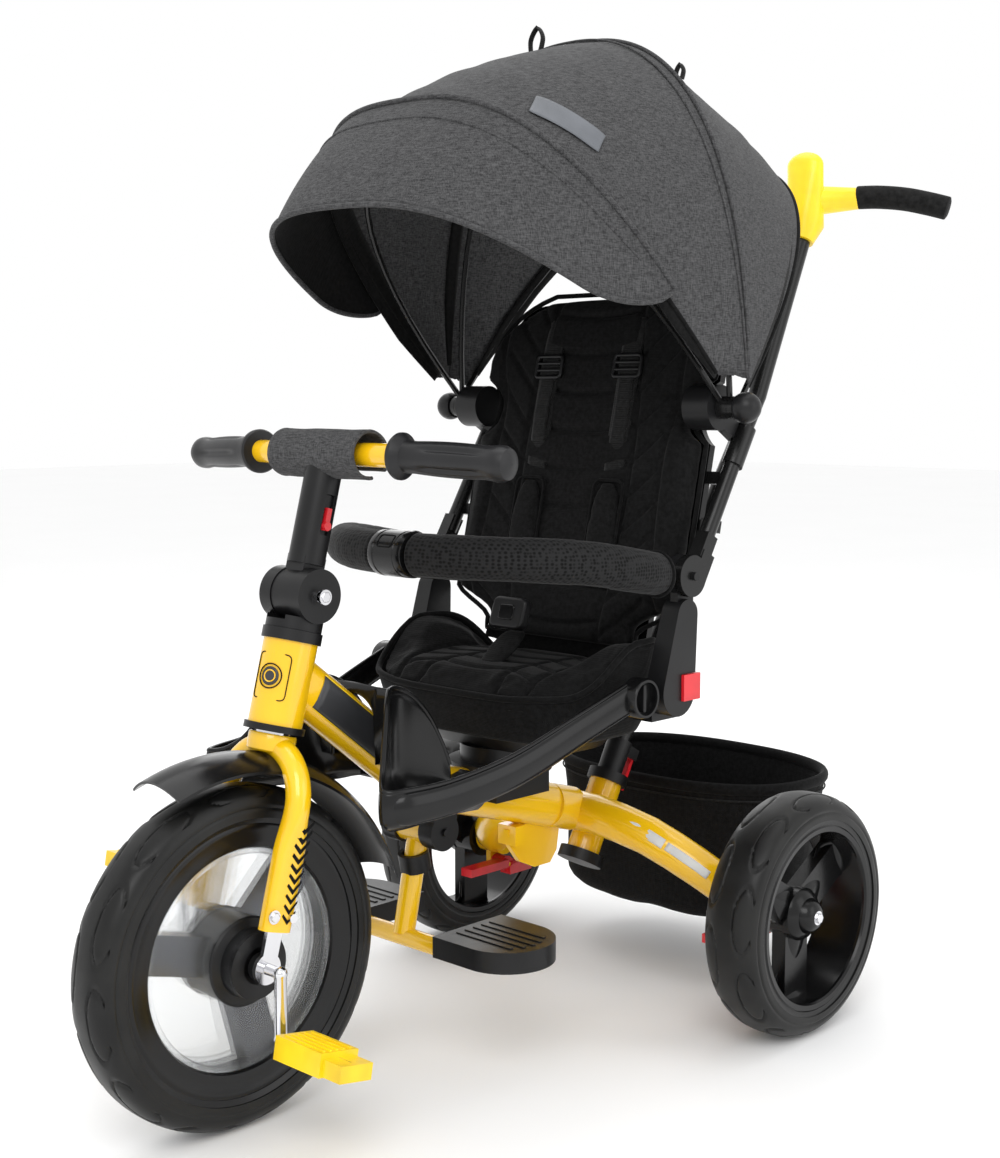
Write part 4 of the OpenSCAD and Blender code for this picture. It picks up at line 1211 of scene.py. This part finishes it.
TRAY_FLOOR = 269.5
FLOOR_FROM = 14  # the point on the smoothed edge where the floor begins


def make_tray():
    shiny = (GLOSS_BLACK, "frame", "gloss_black")
    top = smooth_path([(x, y, a) for x, y, a, b in TRAY_EDGE], 6)
    low = smooth_path([(x, y, b) for x, y, a, b in TRAY_EDGE], 6)
    count = len(top)

    def one(side, name):
        def wall(u, v):
            i = min(int(round(u * (count - 1))), count - 1)
            t, b = top[i], low[i]
            inward = Vector((92 - b.x, -352 - b.y, 0)).normalized()
            deep = smoothstep(u, 0.10, 0.22)
            p = t.lerp(b, v)
            bulge = math.sin(math.pi * v) * -2.0
            foot = 9 * deep * smoothstep(v, 0.72, 1.0) ** 2
            p = p + inward * (bulge + foot)
            return at(side * p.x, p.y, p.z)
        obj = piece("tray_wall_" + name, *grid(count, 12, wall), *shiny, thick=0.0040, smooth=60)
        if side > 0:
            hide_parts("foot_tray")

        def floor(u, v):
            i = min(int(round(FLOOR_FROM + u * (count - 1 - FLOOR_FROM))), count - 1)
            b = low[i]
            centre = Vector((92, -340, TRAY_FLOOR))
            inward = Vector((centre.x - b.x, centre.y - b.y, 0)).normalized()
            edge = b + inward * 8
            p = edge.lerp(centre, v)
            z = edge.z + (TRAY_FLOOR - edge.z) * smoothstep(v, 0.0, 0.35)
            return at(side * p.x, p.y, z)
        piece("tray_floor_" + name, *grid(count - FLOOR_FROM, 10, floor), *shiny, thick=0.0040, smooth=60)
        rail = [(168, -184, 352), (161, -246, 330), (152, -318, 304), (142, -384, 290), (133, -430, 286),
                (122, -448, 285)]
        tube("tray_rail_" + name, [at(side * x, y, z) for x, y, z in rail],
             lambda t: 0.0066 * (1 - 0.45 * smoothstep(t, 0.82, 1)), *shiny, sides=24, steps=8,
             flat=2.15)
        lip = [at(side * p.x, p.y, p.z) for p in top]
        tube("tray_lip_" + name, lip, 0.0026, *shiny, sides=10, steps=1)
        cap = [(0.0004, -0.0120), (0.0172, -0.0120), (0.0190, -0.0100), (0.0190, 0.0040), (0.0178, 0.0060),
               (0.0155, 0.0060), (0.0148, 0.0040), (0.0146, -0.0010), (0.0004, -0.0020)]
        wheel_ring("tray_arm_cap_" + name, at(side * 175, -176, 352), side, cap, *shiny, 64)
        slab("tray_arm_rib_" + name, box_outline(0.004, 0.026, 0.0015), -0.004, 0.0026, SATIN_BLACK,
             "frame", "black_plastic", where=facing(at(side * 176, -176, 352), (side, 0, 0)), bevel=0.0006,
             segments=2)
    both(one)

    def bridge(u, v):
        x = -47 + 94 * u
        arch = 332 + math.sqrt(max(0.0, 30 ** 2 - min(abs(x), 30) ** 2)) if abs(x) < 30 else 300
        low_z = max(arch, 300)
        z = 370 + (low_z - 370) * v
        return at(x, -374 - 3 * math.sin(math.pi * v), z)
    piece("tray_hump_front", *grid(60, 8, bridge), *shiny, thick=0.0040, smooth=50)

    def ledge(u, v):
        return at(-60 + 120 * u, -322 + 74 * v, TRAY_FLOOR - 1.5 * math.sin(math.pi * v))
    piece("tray_ledge", *grid(12, 8, ledge), *shiny, thick=0.0040, smooth=50)


# ---- Basket ----

def make_basket():
    def ring(u, half_x, half_y):
        a = 2 * math.pi * u
        c, d = soft_circle(a, 2 / 2.4)
        return half_x * c, 128 + half_y * d

    def place(u, v):
        a = 2 * math.pi * u
        if v < 0.78:
            h = v / 0.78
            x, y = ring(u, 158 - 7 * h, 104 - 5 * h)
            fold = 3.2 * math.sin(math.pi * h) * noise.noise(Vector((3 * math.cos(a), 3 * math.sin(a),
                                                                     h * 1.2)))
            crease = 1.4 * math.sin(math.pi * h) * noise.noise(Vector((11 * math.cos(a), 11 * math.sin(a),
                                                                       h * 3)))
            z = 219 - 128 * h - 3 * math.sin(a * 2 + 0.6) * math.sin(math.pi * h)
            out = 1 + (fold + crease - 4 * math.sin(math.pi * h)) / 150
            return at(x * out, 128 + (y - 128) * out, z)
        g = (v - 0.78) / 0.22
        shrink = math.cos(g * math.pi / 2)
        x, y = ring(u, 151 * shrink, 99 * shrink)
        sag = 5 * math.sin(math.pi * g) * noise.noise(Vector((x * 0.02, y * 0.02, 4)))
        z = 91 - 17.5 * math.sin(min(g * 3, 1) * math.pi / 2) + sag
        return at(x, y, max(z, 73))
    obj = piece("basket_bag", *grid(180, 60, place, wrap_rows=True), BAG_CLOTH, "frame", "black_fabric",
                thick=0.0022, smooth=70)
    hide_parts("basket")
    binding = tube("basket_binding", [at(*ring(k / 120, 158, 104), 217.5) for k in range(120)], 0.0042,
                   BINDING, "frame", "black_fabric", sides=12, steps=1, closed=True, flat=1.5)
    stitch = tube("basket_stitch", [at(*ring(k / 120, 158.6, 104.6), 205) for k in range(120)], 0.0010,
                  STRAP, "frame", "black_fabric", sides=6, steps=1, closed=True)
    for number, u in enumerate((0.09, 0.41, 0.59, 0.91)):
        line = [place(u, v / 40) for v in range(1, 32)]
        tube("basket_seam_%d" % (number + 1), line, 0.0015, BINDING, "frame", "black_fabric",
                          sides=6, steps=1, up=(0, 1, 0.1))


# ---- Harness ----

STRAP_X = 0.053  # how far each shoulder strap is from the middle


def strap_run(name, rows, half, thick):
    """A flat webbing strap along rows of (centre x, y, z) points on the backrest."""
    path = smooth_path(rows, 6)

    def place(u, v):
        i = min(int(round(u * (len(path) - 1))), len(path) - 1)
        p = path[i]
        return (p.x + (2 * v - 1) * half, p.y - 0.0004 * math.sin(math.pi * v), p.z)
    return piece(name, *grid(len(path), 7, place), STRAP, "backrest", "black_fabric", thick=thick,
                 smooth=50, where=BACK)


def buckle(name, where, width, height, bars):
    """A ladder-lock adjuster: a rounded frame with crossbars."""
    tube(name, [(x, 0, z) for x, z in box_outline(width, height, 0.004)], 0.0021, SATIN_BLACK, "backrest",
         "black_plastic", sides=12, steps=1, closed=True, up=(0, 1, 0), where=where)
    for k in range(bars):
        z = height * ((k + 1) / (bars + 1) - 0.5)
        tube("%s_bar_%d" % (name, k + 1), [(-width / 2, 0, z), (0, -0.0006, z), (width / 2, 0, z)], 0.0017,
             SATIN_BLACK, "backrest", "black_plastic", sides=10, steps=3, up=(0, 1, 0), where=where)


def make_chest_pad(name, side):
    def place(u, v):
        a = 2 * math.pi * v
        ring = math.sin(math.pi * min(max(u, 0.001), 0.999)) ** 0.32
        c, d = soft_circle(a, 0.6)
        return (side * STRAP_X + 0.0185 * ring * c, 0.0074 + 0.0052 * ring * d, -0.016 + 0.104 * u)
    obj = piece(name, *grid(50, 40, place, wrap_cols=True), SEAT_CLOTH, None, None, where=BACK)
    simulate_pad(obj, 3.0, 0.0012, frames=12, voxel=0.0035)
    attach(obj, "backrest")
    edge = [(side * STRAP_X + x, 0.0074, 0.036 + z) for x, z in box_outline(0.0382, 0.1065, 0.010)]
    tube(name + "_binding", edge, 0.0016, BINDING, "backrest", "black_fabric", sides=8, steps=1,
         closed=True, up=(0, 1, 0), where=BACK)


def make_harness():
    def one(side, name):
        rows = [(side * STRAP_X, 0.0130, 0.090), (side * STRAP_X, 0.0112, 0.130), (side * 0.0535, 0.0108,
                                                                                   0.18),
                (side * STRAP_X, 0.0112, 0.225), (side * 0.0525, 0.0145, 0.258)]
        strap = strap_run("harness_strap_" + name, rows, 0.0125, 0.0020)
        if side > 0:
            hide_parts("shoulder_harness")
        tail = [(side * STRAP_X, 0.0092, 0.198), (side * 0.0545, 0.0084, 0.160), (side * 0.0535, 0.0090,
                                                                                  0.128)]
        strap_run("harness_tail_" + name, tail, 0.0095, 0.0014)
        buckle("harness_adjuster_" + name, BACK @ Matrix.Translation((side * STRAP_X, 0.0082, 0.207)),
               0.034, 0.022, 2)
        make_chest_pad("chest_pad_" + name, side)
    both(one)


def make_seat_flap():
    """The cloth that closes the gap between the back pad and the cushion."""
    def place(u, v):
        x = (2 * u - 1) * (118 - 16 * v)
        low = at(x, -80, 360 + 12 * smoothstep(abs(x), 60, 110))
        high = BACK @ Vector((x * MM, 0.030, -0.070))
        sag = Vector((0, -0.004, -0.003)) * math.sin(math.pi * v)
        return low.lerp(high, v) + sag
    obj = apply_all(piece("seat_flap", *grid(40, 14, place), SEAT_CLOTH, None, "black_fabric", thick=0.0024,
                          smooth=60))
    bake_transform(obj)


def make_crotch():
    def place(u, v):
        a = 2 * math.pi * v
        y = -206 + 52 * u
        mid = 369.5 + 25.5 * smoothstep(u, 0.05, 1.0)
        ring = math.sin(math.pi * min(max(u, 0.001), 0.999)) ** 0.32
        half, thick = 18.0 * ring, (3.0 + 1.6 * u) * ring
        c, d = soft_circle(a, 0.6)
        return at(half * c, y, mid + thick * d)
    pad = piece("crotch_pad", *grid(36, 36, place, wrap_cols=True), SEAT_CLOTH, None, None)
    simulate_pad(pad, 3.0, 0.0012, frames=12, voxel=0.0035)
    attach(pad, "frame")
    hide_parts("crotch_strap")

    def band(u, v):
        y = -236 + 84 * u
        lift = 0.6 + 1.4 * math.sin(math.pi * u)
        return at((2 * v - 1) * 13, y, 361.4 + lift)
    piece("crotch_webbing", *grid(20, 5, band), STRAP, "frame", "black_fabric", thick=0.0018, smooth=50)
    front = facing(at(0, -169, 415), (0, -0.94, 0.34))
    slab("crotch_buckle", box_outline(0.044, 0.032, 0.008), -0.006, 0.006, SATIN_BLACK, "frame",
         "black_plastic", where=front, bevel=0.003, segments=4)
    slab("crotch_buckle_button", box_outline(0.020, 0.016, 0.004), 0.0, 0.0072, GLOSS_BLACK, "frame",
         "black_plastic", where=front, bevel=0.0012, segments=3)


# ---- Push handle and footrest trims ----

def make_push_grips():
    def one(side, name):
        pts = [(46, 375.6, 863), (70, 385, 862.5), (98, 396, 859), (124, 406.5, 852.5), (145, 415, 846)]
        obj = tube("push_grip_" + name, [at(side * x, y, z) for x, y, z in pts],
                   lambda t: 0.0135 * (0.86 + 0.14 * smoothstep(t, 0, 0.03))
                   * (1 - 0.25 * smoothstep(t, 0.97, 1.0)), FOAM, "push_handle", "foam", sides=36, steps=10)
        if side > 0:
            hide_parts("handle_grips")
    both(one)


def make_footplate_ribs():
    def one(side, name):
        for k in range(5):
            y = -284 + 11 * (k - 2)
            reach = math.sqrt(max(0.0, 36 ** 2 - (y + 284) ** 2))
            length = (104 + reach - 62) * MM
            centre = 62 + (104 + reach - 62) / 2
            slab("footplate_rib_%s_%d" % (name, k + 1), box_outline(length, 0.0046, 0.0016), -0.001, 0.0011,
                 SATIN_BLACK, "footrest", "black_plastic",
                 where=Matrix.Translation(at(side * centre, y, 134)), bevel=0.0006, segments=2)
    both(one)


def make_bolts():
    for side, name in ((1, "left"), (-1, "right")):
        bolt("knuckle_bolt_" + name, STEER @ Vector((side * 0.0345, 0, 0.318)), (side, 0, 0), 0.0050, 0.002,
             "steering")
        bolt("fork_bolt_" + name, STEER @ Vector((side * 0.0588, -0.010, 0.045)), (side, 0, 0), 0.0044,
             0.0028, "steering")


MAKE_TRIMS = (make_front_wheel, make_rear_wheels, make_fork, make_badge, make_chevrons, make_down_label,
              make_beam_label, make_handlebar, make_pedals, make_guard, make_tray, make_basket,
              make_harness, make_seat_flap, make_crotch, make_push_grips, make_footplate_ribs, make_bolts)


# ---- Camera, light and floor ----

def make_camera():
    yaw, pitch = math.radians(43.87), math.radians(-6.21)
    look = Vector((-math.sin(yaw) * math.cos(pitch), math.cos(yaw) * math.cos(pitch), math.sin(pitch)))
    data = bpy.data.cameras.new("camera")
    data.lens = 52.36
    data.sensor_width = 36
    data.clip_start = 0.05
    data.clip_end = 50
    camera = bpy.data.objects.new("camera", data)
    camera.matrix_world = facing(at(1146.39, -1376.43, 630.66), -look)
    bpy.context.scene.collection.objects.link(camera)
    bpy.context.scene.camera = camera


def area_light(name, place, target, size, power):
    data = bpy.data.lights.new(name, "AREA")
    data.shape = "RECTANGLE"
    data.size, data.size_y = size
    data.energy = power
    light = bpy.data.objects.new(name, data)
    light.matrix_world = facing(Vector(place), Vector(place) - Vector(target))
    bpy.context.scene.collection.objects.link(light)


def make_stage():
    data = bpy.data.meshes.new("floor")
    data.from_pydata([(-12, -12, 0), (12, -12, 0), (12, 12, 0), (-12, 12, 0)], [], [(0, 1, 2, 3)])
    floor = bpy.data.objects.new("floor", data)
    bpy.context.scene.collection.objects.link(floor)
    look = Shader("pale_floor", (0.96, 0.96, 0.96), 0.8)
    look.colour(look.noise(2), (0.955, 0.955, 0.955), (0.965, 0.965, 0.965))
    data.materials.append(look.mat)
    world = bpy.data.worlds.new("studio")
    world.use_nodes = True
    world.node_tree.nodes["Background"].inputs["Color"].default_value = (1, 1, 1, 1)
    world.node_tree.nodes["Background"].inputs["Strength"].default_value = 1.0
    bpy.context.scene.world = world
    area_light("key", (1.6, -1.9, 2.3), (0, 0, 0.4), (1.6, 1.6), 30)
    area_light("fill", (2.6, 0.6, 1.2), (0, 0, 0.4), (1.4, 2.0), 10)
    area_light("top", (-0.4, 0.2, 2.9), (0, 0, 0.5), (2.2, 2.2), 22)
    area_light("rim", (-2.0, 1.6, 1.7), (0, 0, 0.5), (1.2, 1.8), 10)
    bpy.context.scene.view_settings.view_transform = "Standard"


make_camera()
make_stage()
dress_nodes()
make_canopy()
make_seat_cushion()
make_seat_skirt()
make_back_pad()
for make in MAKE_TRIMS:
    make()
